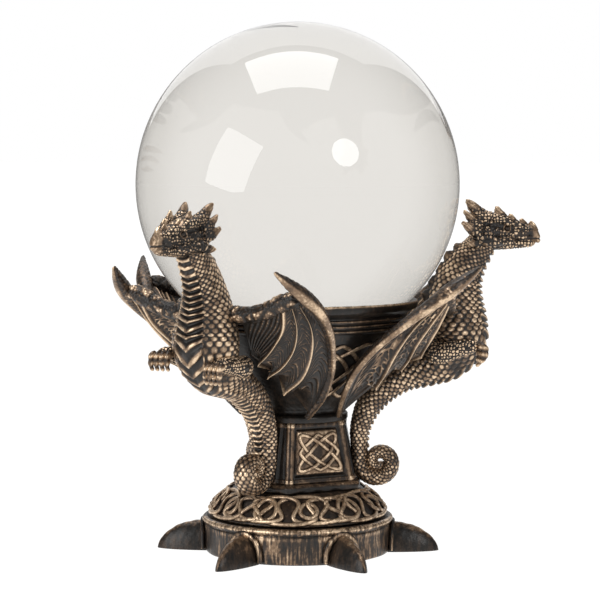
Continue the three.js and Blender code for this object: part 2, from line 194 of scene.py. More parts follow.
def ring_faces(rows, columns, wrap_rows=False):
    """Faces between rings of places, and from the last ring to the first where rows wrap."""
    faces = []
    for r in range(rows if wrap_rows else rows - 1):
        below, above = r * columns, ((r + 1) % rows) * columns
        for c in range(columns):
            d = (c + 1) % columns
            faces.append((below + c, below + d, above + d, above + c))
    return faces


def grid_normals(grid, wrap_rows=False, wrap_columns=False):
    """Unit normals of a rows x columns x 3 grid of places."""

    def slope(axis, wrap):
        if wrap:
            return np.roll(grid, -1, axis) - np.roll(grid, 1, axis)
        return np.gradient(grid, axis=axis)

    return unit(np.cross(slope(1, wrap_columns), slope(0, wrap_rows)))


def closed_grid(grid, gold):
    """A tube of rings of places, closed at both ends by a point in the middle of the end ring."""
    rows, columns, _ = grid.shape
    places = np.vstack([grid.reshape(-1, 3), grid[0].mean(0), grid[-1].mean(0)])
    start, end = rows * columns, rows * columns + 1
    faces = ring_faces(rows, columns)
    last = (rows - 1) * columns
    for c in range(columns):
        d = (c + 1) % columns
        faces.append((d, c, start))
        faces.append((last + c, last + d, end))
    rubbed = np.concatenate([gold.reshape(-1), [gold[0].mean(), gold[-1].mean()]])
    return outward(Shell(places, faces, rubbed))


def hoop(grid, gold):
    """A tube of rings of places, whose last ring joins the first."""
    faces = ring_faces(*grid.shape[:2], wrap_rows=True)
    return outward(Shell(grid.reshape(-1, 3), faces, gold.reshape(-1)))


def tube(points, side, rings, around, relief=None, round_ends=0.0):
    """A tube whose section is an ellipse, from points of x, y, z, half-depth and half-width.

    relief(along, share, length, girth) gives the height and the gold of a place: along is in
    millimetres from the start, and share runs once round, from the face square to side.
    """
    rows = spline(points, rings)
    centre, depth, width = rows[:, :3], rows[:, 3:4], rows[:, 4:5]
    tangent = unit(np.gradient(centre, axis=0))
    front = unit(np.cross(tangent, np.array(side, float)))
    across = np.cross(front, tangent)
    steps = np.linalg.norm(np.diff(centre, axis=0), axis=1)
    along = np.concatenate([[0], np.cumsum(steps)])[:, None]
    if round_ends:
        near_end = np.minimum(along, along[-1] - along) / round_ends
        roundness = np.sqrt(1 - (1 - np.clip(near_end, 0.001, 1)) ** 2)
        depth, width = depth * roundness, width * roundness
    share = (np.arange(around) / around)[None]
    angle = share * math.tau
    grid = (
        centre[:, None]
        + (front * depth)[:, None] * np.cos(angle)[..., None]
        + (across * width)[:, None] * np.sin(angle)[..., None]
    )
    gold = np.zeros((rings, around))
    if relief:
        normals = grid_normals(grid, wrap_columns=True)
        outwards = np.sign(np.sum(normals * (grid - centre[:, None]), axis=-1).mean())
        girth = math.pi * (depth + width)
        height, gold = relief(along, share, along[-1, 0], girth)
        grid = grid + normals * outwards * height[..., None]
        gold = np.broadcast_to(gold, (rings, around))
    return closed_grid(grid, gold)


def outward(shell):
    """The shell with its faces turned to point out."""
    volume = 0.0
    p = shell.places
    for face in shell.faces[:: max(1, len(shell.faces) // 4000)]:
        a, b, c = p[face[0]], p[face[1]], p[face[2]]
        volume += np.dot(a - p.mean(0), np.cross(b - a, c - a))
    if volume < 0:
        shell.faces = [face[::-1] for face in shell.faces]
    return shell


def lathe(profile, around, relief=None, closed=False):
    """A piece turned about Z from rows of radius and z, closed by discs or, if closed, on itself."""
    profile = np.array(profile, float)
    angle = np.arange(around) / around * math.tau
    grid = cylindrical(profile[:, :1], angle, profile[:, 1:])
    gold = np.zeros(grid.shape[:2])
    if relief:
        normals = grid_normals(grid, wrap_rows=closed, wrap_columns=True)
        height, gold = relief(profile, angle[None])
        grid = grid + normals * np.broadcast_to(height, grid.shape[:2])[..., None]
        gold = np.broadcast_to(gold, grid.shape[:2])
    return hoop(grid, gold) if closed else closed_grid(grid, gold)


def filleted(corners, radius, spacing=0.5):
    """A profile through corners, each rounded, with a point about every spacing."""
    corners = np.array(corners, float)
    rows = [corners[:1]]
    for before, corner, after in zip(corners, corners[1:], corners[2:]):
        back, on = before - corner, after - corner
        reach = min(radius, np.linalg.norm(back) * 0.45, np.linalg.norm(on) * 0.45)
        start, end = corner + unit(back) * reach, corner + unit(on) * reach
        t = np.linspace(0, 1, 5)[:, None]
        rows.append(start * (1 - t) ** 2 + corner * 2 * t * (1 - t) + end * t**2)
    rows.append(corners[-1:])
    rows = np.vstack(rows)
    dense = [rows[:1]]
    for a, b in zip(rows, rows[1:]):
        steps = max(1, int(np.ceil(np.linalg.norm(b - a) / spacing)))
        dense.append(a + (b - a) * (np.arange(1, steps + 1) / steps)[:, None])
    return np.vstack(dense)


def to_mesh(name, shell):
    mesh = bpy.data.meshes.new(name)
    mesh.from_pydata((shell.places * MM).tolist(), [], shell.faces)
    mesh.validate()
    rubbed = mesh.attributes.new("gold", "FLOAT", "POINT")
    rubbed.data.foreach_set("value", shell.gold.astype(np.float32))
    mesh.shade_smooth()
    return mesh


def fused(shells, voxel):
    """One skin round overlapping closed shells, as places, vertex normals and faces."""
    whole = joined(shells)
    thing = bpy.data.objects.new("fusing", to_mesh("fusing", whole))
    bpy.context.scene.collection.objects.link(thing)
    remesh = thing.modifiers.new("skin", "REMESH")
    remesh.mode = "VOXEL"
    remesh.voxel_size = voxel * MM
    relax = thing.modifiers.new("relax", "SMOOTH")
    relax.factor = 0.5
    relax.iterations = 2
    skin = thing.evaluated_get(bpy.context.evaluated_depsgraph_get()).to_mesh()
    places = np.zeros(len(skin.vertices) * 3)
    normals = np.zeros(len(skin.vertices) * 3)
    skin.vertices.foreach_get("co", places)
    skin.vertices.foreach_get("normal", normals)
    faces = [tuple(face.vertices) for face in skin.polygons]
    bpy.data.objects.remove(thing)
    return places.reshape(-1, 3) / MM, normals.reshape(-1, 3), faces


def piece(name, mesh, finish, replaces, body="stand"):
    """A shown piece: its object rides on a body and stands for the CAD nodes it replaces."""
    made = bpy.data.objects.new(name, mesh)
    bpy.context.scene.collection.objects.link(made)
    mesh.materials.clear()
    mesh.materials.append(finish)
    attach(made, body)
    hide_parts(*replaces)


def turned_copy(mesh, degrees):
    copy = mesh.copy()
    copy.transform(Matrix.Rotation(math.radians(degrees), 4, "Z"))
    return copy


# ---------------------------------------------------------------- materials
PATINA = (0.011, 0.009, 0.0075, 1)
BROWN = (0.045, 0.03, 0.021, 1)
BRONZE = (0.24, 0.158, 0.1, 1)
GOLD = (0.84, 0.63, 0.43, 1)
GRAIN = 0.45
# The glass's painted dark outline, painted shade by facing ratio, fades between these heights of its
# surface's direction, 1 being up.
PAINTED_RIM_SHADE_FADE = (0.35, 0.8)


def material(name):
    made = bpy.data.materials.new(name)
    made.use_nodes = True
    return made, made.node_tree.nodes, made.node_tree.links


def set_inputs(node, values):
    for socket, value in values.items():
        node.inputs[socket].default_value = value


def noise(nodes, links, scale, detail, stretch=(1, 1, 1), turn=(0, 0, 0)):
    """A noise fixed to the object, stretched and turned."""
    place = nodes.new("ShaderNodeTexCoord")
    mapping = nodes.new("ShaderNodeMapping")
    set_inputs(mapping, {"Scale": stretch, "Rotation": turn})
    texture = nodes.new("ShaderNodeTexNoise")
    set_inputs(texture, {"Scale": scale, "Detail": detail})
    links.new(place.outputs["Object"], mapping.inputs["Vector"])
    links.new(mapping.outputs["Vector"], texture.inputs["Vector"])
    return texture.outputs["Fac"]


def sum_of(nodes, links, terms, start):
    """start plus each output times its weight, kept from 0 to 1."""
    total = None
    for output, weight in terms:
        step = nodes.new("ShaderNodeMath")
        step.operation = "MULTIPLY_ADD"
        step.inputs[1].default_value = weight
        links.new(output, step.inputs[0])
        if total is None:
            step.inputs[2].default_value = start
        else:
            links.new(total, step.inputs[2])
        total = step.outputs[0]
    clamp = nodes.new("ShaderNodeClamp")
    links.new(total, clamp.inputs[0])
    return clamp.outputs[0]


def ramp(nodes, links, output, stops):
    made = nodes.new("ShaderNodeValToRGB")
    made.color_ramp.interpolation = "EASE"
    while len(made.color_ramp.elements) < len(stops):
        made.color_ramp.elements.new(0.5)
    for element, (position, colour) in zip(made.color_ramp.elements, stops):
        element.position = position
        element.color = colour
    links.new(output, made.inputs["Fac"])
    return made.outputs["Color"]


def map_range(nodes, links, output, before, after):
    """An output carried from one range of values into another."""
    made = nodes.new("ShaderNodeMapRange")
    set_inputs(made, dict(zip(("From Min", "From Max", "To Min", "To Max"), before + after)))
    links.new(output, made.inputs["Value"])
    return made.outputs["Result"]


def add_bump(nodes, links, height, distance, strength=1.0):
    """Raises the material's surface by an output, up to that distance in metres."""
    bump = nodes.new("ShaderNodeBump")
    set_inputs(bump, {"Strength": strength, "Distance": distance})
    links.new(height, bump.inputs["Height"])
    links.new(bump.outputs["Normal"], nodes["Principled BSDF"].inputs["Normal"])


def antique_bronze(name, rubbed, edges, patches, streaks=0.0, strokes=620):
    """Dark patina in the hollows, and gold dry-brushed over raised and sharp places."""
    made, nodes, links = material(name)
    shader = nodes["Principled BSDF"]
    raised = nodes.new("ShaderNodeAttribute")
    raised.attribute_name = "gold"
    geometry = nodes.new("ShaderNodeNewGeometry")
    patch = noise(nodes, links, 95, 4)
    grain = noise(nodes, links, 1100, 3)
    streak = noise(nodes, links, strokes, 5, (1, 1, 0.12), (0.5, 0.45, 0))
    terms = [
        (raised.outputs["Fac"], rubbed),
        (geometry.outputs["Pointiness"], edges),
        (patch, patches),
        (grain, GRAIN),
        (streak, streaks),
    ]
    start = 0.02 - edges * 0.5 - (patches + GRAIN + streaks) * 0.5
    rub = sum_of(nodes, links, terms, start)
    stops = [(0.0, PATINA), (0.26, BROWN), (0.52, BRONZE), (0.85, GOLD)]
    links.new(ramp(nodes, links, rub, stops), shader.inputs["Base Color"])
    metal = [(0.0, (0.15, 0.15, 0.15, 1)), (0.8, (0.75, 0.75, 0.75, 1))]
    links.new(ramp(nodes, links, rub, metal), shader.inputs["Metallic"])
    rough = sum_of(nodes, links, [(rub, -0.05), (grain, 0.25)], 0.23)
    links.new(rough, shader.inputs["Roughness"])
    add_bump(nodes, links, grain, 0.0002, 0.35)
    return made


def clear_glass():
    """Clear glass with painted shade: darker towards its outline by facing ratio except where it faces up,
    and a grey tint that is partly its own and partly painted shade.
    """
    made, nodes, links = material("clear_glass")
    shader = nodes["Principled BSDF"]
    set_inputs(shader, {"Transmission Weight": 1.0, "IOR": 1.5, "Roughness": 0.0})
    # The glass's faint warm tint, darkened further as painted shade for the dimmer studio seen through the
    # ball.
    glass_tint_and_painted_shade = [(0.3, (0.75, 0.731, 0.702, 1)), (0.7, (0.764, 0.748, 0.719, 1))]
    # Painted shade: this ramp darkens the glass towards its outline by facing ratio, standing in for the
    # dark studio the rim reflects.
    rim = [
        (0.22, (1, 1, 1, 1)),
        (0.6, (0.8, 0.79, 0.775, 1)),
        (0.78, (0.7, 0.685, 0.665, 1)),
        (0.9, (0.36, 0.35, 0.34, 1)),
    ]
    grazing = nodes.new("ShaderNodeLayerWeight")
    surface = nodes.new("ShaderNodeNewGeometry")
    facing_up = nodes.new("ShaderNodeSeparateXYZ")
    links.new(surface.outputs["Normal"], facing_up.inputs["Vector"])
    sides_only = map_range(nodes, links, facing_up.outputs["Z"], PAINTED_RIM_SHADE_FADE, (1.0, 0.0))
    shaded = nodes.new("ShaderNodeMix")
    shaded.data_type = "RGBA"
    shaded.blend_type = "MULTIPLY"
    links.new(sides_only, shaded.inputs["Factor"])
    links.new(ramp(nodes, links, noise(nodes, links, 14, 2), glass_tint_and_painted_shade), shaded.inputs["A"])
    links.new(ramp(nodes, links, grazing.outputs["Facing"], rim), shaded.inputs["B"])
    links.new(shaded.outputs["Result"], shader.inputs["Base Color"])
    return made


def soft_black(name, grain_scale, roughness, depth):
    """A matt black with a fine surface grain."""
    made, nodes, links = material(name)
    shader = nodes["Principled BSDF"]
    grain = noise(nodes, links, grain_scale, 4)
    shades = [(0.3, (0.008, 0.008, 0.009, 1)), (0.7, (0.03, 0.03, 0.031, 1))]
    links.new(ramp(nodes, links, grain, shades), shader.inputs["Base Color"])
    shader.inputs["Roughness"].default_value = roughness
    add_bump(nodes, links, grain, depth)
    return made


SCALE_BRONZE = antique_bronze("scale_bronze", rubbed=0.85, edges=3.0, patches=0.8)
SKIN_BRONZE = antique_bronze("skin_bronze", rubbed=0.85, edges=2.2, patches=0.6)
WING_BRONZE = antique_bronze("wing_bronze", rubbed=0.95, edges=1.6, patches=0.7)
STAND_BRONZE = antique_bronze("stand_bronze", rubbed=0.8, edges=2.4, streaks=0.7, patches=0.6)
DRUM_BRONZE = antique_bronze("drum_bronze", rubbed=0.8, edges=2.0, streaks=1.9, strokes=1150, patches=1.3)
TALON_BRONZE = antique_bronze("talon_bronze", rubbed=0.8, edges=0.8, streaks=1.0, patches=0.6)
GLASS = clear_glass()
RUBBER = soft_black("seat_rubber", 700, 0.7, 0.0001)
FELT = soft_black("base_felt", 2600, 1.0, 0.0004)


# ---------------------------------------------------------------- ball, seat ring and felt pad
def make_ball():
    rings = 160
    fall = np.linspace(0.002, math.pi - 0.002, rings)
    profile = np.stack([BALL_RADIUS * np.sin(fall), BALL_CENTRE_Z - BALL_RADIUS * np.cos(fall)], axis=1)
    mesh = to_mesh("crystal_ball_glass", lathe(profile, 300))
    piece("crystal_ball_glass", mesh, GLASS, ["crystal_ball"], body="ball")


def under_ball(radius, clearance):
    """The height of a surface that stays that clear of the ball's underside."""
    return BALL_CENTRE_Z - math.sqrt((BALL_RADIUS + clearance) ** 2 - radius**2)


def make_seat_ring():
    low, high = node_mm("seat_ring")
    outer = high[0]
    inner = outer - 4
    top = np.linspace(inner + 0.3, outer - 0.3, 9)
    crown = [(radius, under_ball(radius, GLASS_GAP)) for radius in top]
    corners = [(outer - 0.3, low[2]), (inner + 0.3, low[2]), (inner, low[2] + 0.3)]
    corners += [(inner, crown[0][1] - 0.2)] + crown
    corners += [(outer, crown[-1][1] - 0.2), (outer, low[2] + 0.3)]
    mesh = to_mesh("seat_ring_rubber", lathe(corners, 192, closed=True))
    piece("seat_ring_rubber", mesh, RUBBER, ["seat_ring"], body="seat")


def make_felt_pad():
    radius = FELT_HIGH[0]

    def fuzzy(profile, angle):
        side = smooth(radius - 0.3, radius - 0.1, profile[:, :1]) * smooth(0, 0.3, profile[:, 1:])
        return side * 0.06 * np.sin(angle * 61) * np.sin(angle * 23 + 1), np.zeros((1, 1))

    top = FELT_HIGH[2]
    profile = filleted([(PINHOLE, 0.0), (radius, 0.0), (radius, top), (PINHOLE, top)], 0.25)
    mesh = to_mesh("felt_pad_disc", lathe(profile, 192, fuzzy))
    piece("felt_pad_disc", mesh, FELT, ["felt_pad"])


# ---------------------------------------------------------------- knotwork
def crossings(loops):
    """For each flat closed loop, the places along it where it crosses itself or another loop.

    Each place comes with the number of its crossing, which appears twice in all.
    """
    starts = np.vstack(loops)
    spans = np.vstack([np.roll(loop, -1, axis=0) - loop for loop in loops])
    owner = np.concatenate([np.full(len(loop), i) for i, loop in enumerate(loops)])
    place = np.concatenate([np.arange(len(loop)) for loop in loops])
    met = [[] for _ in loops]
    number = 0
    for k in range(len(starts) - 1):
        gap, r, later = starts[k + 1 :] - starts[k], spans[k], spans[k + 1 :]
        cross = r[0] * later[:, 1] - r[1] * later[:, 0]
        cross = np.where(np.abs(cross) < 1e-12, 1e-12, cross)
        t = (gap[:, 0] * later[:, 1] - gap[:, 1] * later[:, 0]) / cross
        u = (gap[:, 0] * r[1] - gap[:, 1] * r[0]) / cross
        for hit in np.flatnonzero((t >= 0) & (t < 1) & (u >= 0) & (u < 1)):
            other = k + 1 + int(hit)
            same = owner[k] == owner[other]
            apart = place[other] - place[k]
            if not (same and apart in (1, len(loops[owner[k]]) - 1)):
                met[owner[k]].append((place[k] + t[hit], number))
                met[owner[other]].append((place[other] + u[hit], number))
                number += 1
    return [sorted(found) for found in met]


def interlaced(loops, depth):
    """Heights along flat closed loops that pass over and under one another in turn."""
    met = crossings(loops)
    first_sign = {0: 1.0}
    waiting = [0]
    while waiting:
        here = waiting.pop()
        signs = {number: first_sign[here] * (-1) ** k for k, (_, number) in enumerate(met[here])}
        for there, found in enumerate(met):
            shared = [(k, number) for k, (_, number) in enumerate(found) if number in signs]
            if shared and there not in first_sign:
                k, number = shared[0]
                first_sign[there] = -signs[number] * (-1) ** k
                waiting.append(there)
    heights = []
    for i, (loop, found) in enumerate(zip(loops, met)):
        count = len(loop)
        places = np.array([place for place, _ in found])
        signs = first_sign.get(i, 1.0) * (-1.0) ** np.arange(len(found))
        stops = np.concatenate([places - count, places, places + count])
        heights.append(depth * np.interp(np.arange(count), stops, np.tile(signs, 3)))
    return heights


def square_knot():
    """Two long loops from corner to corner and a ring through them, in a square from -1 to 1."""
    t = np.arange(150) / 150 * math.tau
    along, across = 0.93 * np.cos(t), 0.27 * np.sin(t)
    ring = 0.95 - 0.2 * np.abs(np.sin(2 * t))
    falling = np.stack([across + along, across - along], axis=1)
    rising = np.stack([across - along, -across - along], axis=1)
    return [falling, rising, np.stack([ring * np.cos(t), ring * np.sin(t)], axis=1)]


CORD_SIDES = 8


def cord_along(centre, out, radius, flatten):
    """A closed cord along a loop of places, rubbed to gold on the side that faces out."""
    tangent = unit(np.roll(centre, -1, axis=0) - np.roll(centre, 1, axis=0))
    across = unit(np.cross(out, tangent))
    angle = np.arange(CORD_SIDES) / CORD_SIDES * math.tau
    grid = (
        centre[:, None]
        + out[:, None] * (np.sin(angle) * radius * flatten)[None, :, None]
        + across[:, None] * (np.cos(angle) * radius)[None, :, None]
    )
    gold = np.broadcast_to(0.8 * smooth(0.2, 1.0, np.sin(angle))[None], grid.shape[:2])
    return hoop(grid, gold)


# ---------------------------------------------------------------- stand
CORD_RADIUS = 0.85
HEX = math.pi / 3
PANEL_HALF_ANGLE = math.radians(34.7)


def hexagon(angle):
    """How far out a section with three wide sides, at -150, -30 and 90 degrees, reaches.

    The middle of a wide side is at 1, and the three narrow sides face the dragons.
    """
    third = math.tau / 3
    off = (angle - math.pi / 2 + third / 2) % third - third / 2
    narrow = math.cos(HEX - PANEL_HALF_ANGLE) / math.cos(PANEL_HALF_ANGLE)
    wide_side = 1 / np.maximum(np.cos(off), 0.3)
    narrow_side = narrow / np.maximum(np.cos(np.abs(off) - HEX), 0.3)
    return np.minimum(np.minimum(wide_side, narrow_side), 0.985 / math.cos(PANEL_HALF_ANGLE))


def with_section(shell, section):
    """A turned shell whose section is no longer round: section gives the reach at each angle."""
    angle = np.arctan2(shell.places[:, 1], shell.places[:, 0])
    shell.places[:, :2] *= section(angle)[:, None]
    return shell


# The cup's outside from its foot to its lip, as rows of radius and height.
CUP_OUTSIDE = [
    (17.0, 45.4), (17.2, 45.9), (17.2, 47.3), (16.6, 47.9), (15.5, 48.3), (15.3, 49.2),
    (16.3, 51.0), (18.6, 54.0), (21.5, 57.5), (24.6, 61.5), (27.6, 65.5), (30.6, 69.6),
    (33.0, 73.2), (34.3, 75.6), (34.7, 76.6), (35.9, 76.8), (36.1, 77.5), (35.4, 78.0),
    (36.6, 78.4), (36.9, 79.2), (36.1, 79.7), (37.3, 80.1), (37.6, 80.9), (36.9, 81.5),
    (37.6, 82.2), (39.2, 82.9), (40.6, 83.6), (41.0, 84.4), (41.0, 85.7),
]


def cup_radius(height):
    outside = np.array(CUP_OUTSIDE)
    return np.interp(height, outside[:, 1], outside[:, 0])


def make_cup():
    inside = [(39.6, 86.2), (38.9, 85.9), (38.2, 84.6)]
    inside += [(r, under_ball(r, BOWL_GAP)) for r in (37, 35.5, 33.5, 31.5, 29.6)]
    inside += [(29.5, 73.3), (24.5, 73.3), (24.3, 72.2), (20, 68.7), (14, 64.7), (7, 62.8)]
    inside.append((PINHOLE, 62.1))
    corners = [(PINHOLE, CUP_LOW[2])] + CUP_OUTSIDE + [(40.6, 86.3)] + inside

    def hammered(profile, angle):
        fine = np.sin(angle * 37 + profile[:, 1:] * 1.7) * np.sin(profile[:, 1:] * 2.3 + angle * 11)
        lip = smooth(40.2, 40.9, profile[:, :1]) * smooth(85.2, 86, profile[:, 1:])
        ridges = sum(bell(profile[:, 1:] - z, 0.28) for z in (77.4, 79.1, 80.8))
        outer = smooth(-0.6, -0.2, profile[:, :1] - cup_radius(profile[:, 1:]))
        gold = (lip * 0.9 + ridges * 0.5 * outer) + 0 * angle
        return fine * 0.04, gold

    shells = [lathe(filleted(corners, 0.5, 0.55), 264, hammered)]
    for place in PANEL_TURNS.values():
        shells += cup_ornament(place)
    mesh = to_mesh("cup_casting", joined(shells))
    piece("cup_casting", mesh, STAND_BRONZE, ["support_cup"])


def on_cup(around, height, lift):
    """Places on the cup's outside, lifted off it."""
    return cylindrical(cup_radius(height) + lift, around, height)


def cup_ornament(place):
    """A knot in low relief on the flare of the cup, between two dragons."""
    low, high, spread = 54.0, 73.0, math.radians(24)
    knot = square_knot()
    cords = []
    for loop, lifted in zip(knot, interlaced(knot, 0.35)):
        height = mix(low, high, (loop[:, 1] + 1) / 2)
        around = math.radians(place) + loop[:, 0] * spread
        centre = on_cup(around, height, lifted + 0.2)
        out = unit(cylindrical(1, around, -0.7))
        cords.append(cord_along(centre, out, 0.8, 0.5))
    return cords


def column_corner(z):
    """How far out the column's corners are at that height."""
    bottom, top = 21.0, 17.0
    return mix(bottom, top, (z - COLUMN_LOW[2]) / (COLUMN_HIGH[2] - COLUMN_LOW[2]))


def panel_side(z):
    """How far out the middle of a wide side is, and half that side's width."""
    corner = column_corner(z)
    return corner * math.cos(PANEL_HALF_ANGLE), corner * math.sin(PANEL_HALF_ANGLE)


PANEL_INSET = 2.1
PANEL_BOTTOM = 2.3
PANEL_TOP = 1.9


def make_column():
    bottom, top = COLUMN_LOW[2], COLUMN_HIGH[2]
    wall = [(panel_side(z)[0], z) for z in np.linspace(bottom, top, 96)]
    profile = np.array([(PINHOLE, bottom)] + wall + [(PINHOLE, top)])

    def carving(rows, angle):
        z = rows[:, 1:]
        side, half = panel_side(z)
        third = math.tau / 3
        off = np.abs((angle - math.pi / 2 + third / 2) % third - third / 2)
        on_panel = off < PANEL_HALF_ANGLE
        narrow_side = column_corner(z) * math.cos(HEX - PANEL_HALF_ANGLE)
        narrow_half = column_corner(z) * math.sin(HEX - PANEL_HALF_ANGLE)
        to_narrow = np.abs(np.tan(np.abs(off - HEX))) * narrow_side
        edge = np.where(on_panel, half - np.tan(np.minimum(off, 1.0)) * side, narrow_half - to_narrow)
        post = smooth(1.7, 1.4, edge)
        groove = bell(edge - 1.8, 0.25)
        inside = smooth(PANEL_INSET - 0.1, PANEL_INSET + 0.15, edge) * on_panel
        inside = inside * smooth(PANEL_BOTTOM - 0.3, PANEL_BOTTOM, z - bottom)
        inside = inside * smooth(PANEL_TOP - 0.3, PANEL_TOP, top - z)
        ledges = smooth(1.5, 1.1, z - bottom) + smooth(1.3, 0.9, top - z)
        spine = 0.9 * smooth(4.6, 3.6, to_narrow) * (1 - on_panel)
        wall_rows = (rows[:, :1] > 1).astype(float)
        height = 0.4 * post + 0.3 * ledges - 0.35 * groove - 1.1 * inside + spine
        gold = 0.5 * post * smooth(0.05, 0.4, edge) + 0.3 * ledges + 0.1 * inside
        return height * wall_rows, gold * wall_rows

    shell = with_section(lathe(profile, 432, carving), hexagon)
    mesh = to_mesh("column_casting", shell)
    piece("column_casting", mesh, STAND_BRONZE, ["column"])


def make_panel(place, degrees):
    """A swollen plate between the column's ribs, with an endless knot on it."""
    bottom, top = COLUMN_LOW[2] + PANEL_BOTTOM + 0.2, COLUMN_HIGH[2] - PANEL_TOP - 0.2
    rows, columns = 60, 48
    z = np.linspace(bottom, top, rows)[:, None]
    share = np.linspace(-1, 1, columns)[None]
    flat, half = panel_side(z)
    half = half - PANEL_INSET - 0.15

    def face(u_share, height):
        """The plate's front: along the side, out of it, and up."""
        rim = smooth(1.0, 0.9, np.abs(u_share))
        rim = rim * smooth(0, 0.8, height - bottom) * smooth(0, 0.8, top - height)
        middle = (1 - u_share**2) * (1 - (2 * (height - bottom) / (top - bottom) - 1) ** 2)
        return -0.5 + 0.3 * rim + 0.75 * middle

    front = np.stack([half * share, -(flat + face(share, z)), z + 0 * share], axis=-1)
    back = np.stack([half * share, -(flat - 1.0) + 0 * share, z + 0 * share], axis=-1)
    ring = np.concatenate([front, back[:, ::-1]], axis=1)
    up = (z - bottom) / (top - bottom)
    ends = smooth(0.3, 0.05, up) + smooth(0.72, 0.95, up)
    swell = (0.4 + 0.35 * ends) * smooth(-0.5, -0.2, face(share, z)) + 0 * back[..., 0]
    shells = [closed_grid(ring, np.concatenate([swell, 0 * back[..., 0]], axis=1))]

    knot = square_knot()
    for loop, lifted in zip(knot, interlaced(knot, 0.3)):
        height = mix(bottom + 1.3, top - 1.3, (loop[:, 1] + 1) / 2)
        side, reach = panel_side(height)
        reach = reach - PANEL_INSET - 0.15
        u = loop[:, 0] * (reach - 1.0)
        centre = np.stack([u, -(side + face(u / reach, height) + lifted + 0.3), height], axis=1)
        shells.append(cord_along(centre, np.broadcast_to([0.0, -1.0, 0.0], centre.shape), 0.72, 0.7))
    mesh = to_mesh(f"{place}_panel_casting", joined(shells))
    mesh.transform(Matrix.Rotation(math.radians(degrees + 90), 4, "Z"))
    piece(f"{place}_panel_casting", mesh, STAND_BRONZE, [f"{place}_knot_panel"])


def make_foot():
    low, high = FOOT_LOW[2], FOOT_HIGH[2]
    reach = 23.6 * math.cos(PANEL_HALF_ANGLE)
    corners = [(PINHOLE, low), (reach, low), (reach + 0.1, high - 0.9)]
    corners += [(reach - 0.8, high), (PINHOLE, high)]

    def worn(profile, angle):
        wobble = 0.08 * np.sin(angle * 19 + 1) * np.sin(profile[:, 1:] * 3)
        gold = 0.45 * smooth(high - 1.2, high - 0.6, profile[:, 1:])
        gold = gold * smooth(reach - 2.5, reach - 1, profile[:, :1])
        return wobble, gold + 0 * angle

    shell = with_section(lathe(filleted(corners, 0.5, 0.35), 432, worn), hexagon)
    mesh = to_mesh("foot_casting", shell)
    piece("foot_casting", mesh, STAND_BRONZE, ["column_foot"])


def dome_radius(z):
    """The dome's flank: a swollen slope from the drum up to the foot."""
    share = np.clip((z - DOME_LOW[2]) / (DOME_HIGH[2] - DOME_LOW[2]), 0, 1)
    return mix(30.0, 21.0, share**1.15) + 1.3 * np.sin(math.pi * share)


def make_dome():
    low, high = DOME_LOW[2], DOME_HIGH[2]
    rise = np.linspace(low, high, 30)
    profile = [(PINHOLE, low)] + [(float(dome_radius(z)), z) for z in rise] + [(PINHOLE, high)]

    def rough(rows, angle):
        z = rows[:, 1:]
        return 0.1 * np.sin(angle * 43 + z * 2) * np.sin(z * 3.1 + angle * 17), 0.2 + 0 * angle * z

    mesh = to_mesh("dome_casting", lathe(profile, 240, rough))
    piece("dome_casting", mesh, STAND_BRONZE, ["base_dome"])


BAND_LEADS = 3
BAND_LOBES = 20
BAND_RINGS = 12


def band_loops():
    """The band's loops as rows of angle round the dome and height up it, from 0 to 1."""
    t = np.arange(2400) / 2400 * math.tau
    lobes = np.cos(BAND_LOBES * t)
    around = BAND_LEADS * t + 0.15 * np.sin(2 * BAND_LOBES * t) + 0.05 * np.sin(BAND_LEADS * 6 * t)
    loops = [np.stack([around, 0.5 + 0.5 * lobes * (0.9 + 0.1 * np.cos(BAND_LEADS * 6 * t))], axis=1)]
    turn = np.arange(60) / 60 * math.tau
    for i in range(BAND_RINGS):
        size = (0.135, 0.36) if i % 2 else (0.1, 0.26)
        centre = (i + 0.35) * math.tau / BAND_RINGS
        loops.append(np.stack([centre + size[0] * np.cos(turn), 0.5 + size[1] * np.sin(turn)], axis=1))
    return loops


def make_band():
    """A cord that goes three times round the dome through a row of rings, over and under."""
    low, high = DOME_LOW[2] + 0.7, DOME_HIGH[2] - 0.9
    loops = band_loops()
    flat = [
        np.stack([(30 - 6 * up) * np.cos(around), (30 - 6 * up) * np.sin(around)], axis=1)
        for around, up in (loop.T for loop in loops)
    ]
    cords = []
    for loop, lift in zip(loops, interlaced(flat, 0.34)):
        around, z = loop[:, 0], mix(low, high, loop[:, 1])
        radius = dome_radius(z)
        slope = (dome_radius(z + 0.2) - dome_radius(z - 0.2)) / 0.4
        out = unit(cylindrical(1, around, -slope))
        centre = cylindrical(radius, around, z)
        cords.append(cord_along(centre + out * (lift + 0.35)[:, None], out, CORD_RADIUS, 0.9))
    mesh = to_mesh("knotwork_band_cord", joined(cords))
    piece("knotwork_band_cord", mesh, STAND_BRONZE, ["knotwork_band"])


def make_drum():
    low, high = DRUM_LOW[2], DRUM_HIGH[2]
    corners = [
        (PINHOLE, low), (30.95, low), (31.0, 0.3), (31.5, 0.2), (DRUM_RADIUS, 0.7),
        (DRUM_RADIUS - 0.2, low + 5), (DRUM_RADIUS, 9.3), (31.6, 9.7), (32.3, 10.2), (32.8, 11.1),
        (32.4, 11.9), (31.5, high), (30.6, high - 0.3), (PINHOLE, high - 0.3),
    ]

    def cast(profile, angle):
        z = profile[:, 1:]
        wall = smooth(30.5, 31.5, profile[:, :1])
        dents = 0.1 * np.sin(angle * 9 + 1) * np.sin(angle * 5 + z * 0.5)
        rim = smooth(10.2, 11.2, z) * smooth(31.5, 32.4, profile[:, :1])
        edge = 0.3 * smooth(9.6, 8.6, z) * smooth(7.6, 8.6, z)
        return dents * wall, rim * 0.6 + edge * wall + 0.22 * wall + 0 * angle

    shells = [lathe(filleted(corners, 0.35, 0.6), 288, cast)]
    shells += [talon_collar(i) for i in range(TALON_COUNT)]
    mesh = to_mesh("drum_casting", joined(shells))
    piece("drum_casting", mesh, DRUM_BRONZE, ["base_drum"])


COLLAR_RADIUS = 32.7


def talon_turn(index):
    return -90 + index * 360 / TALON_COUNT


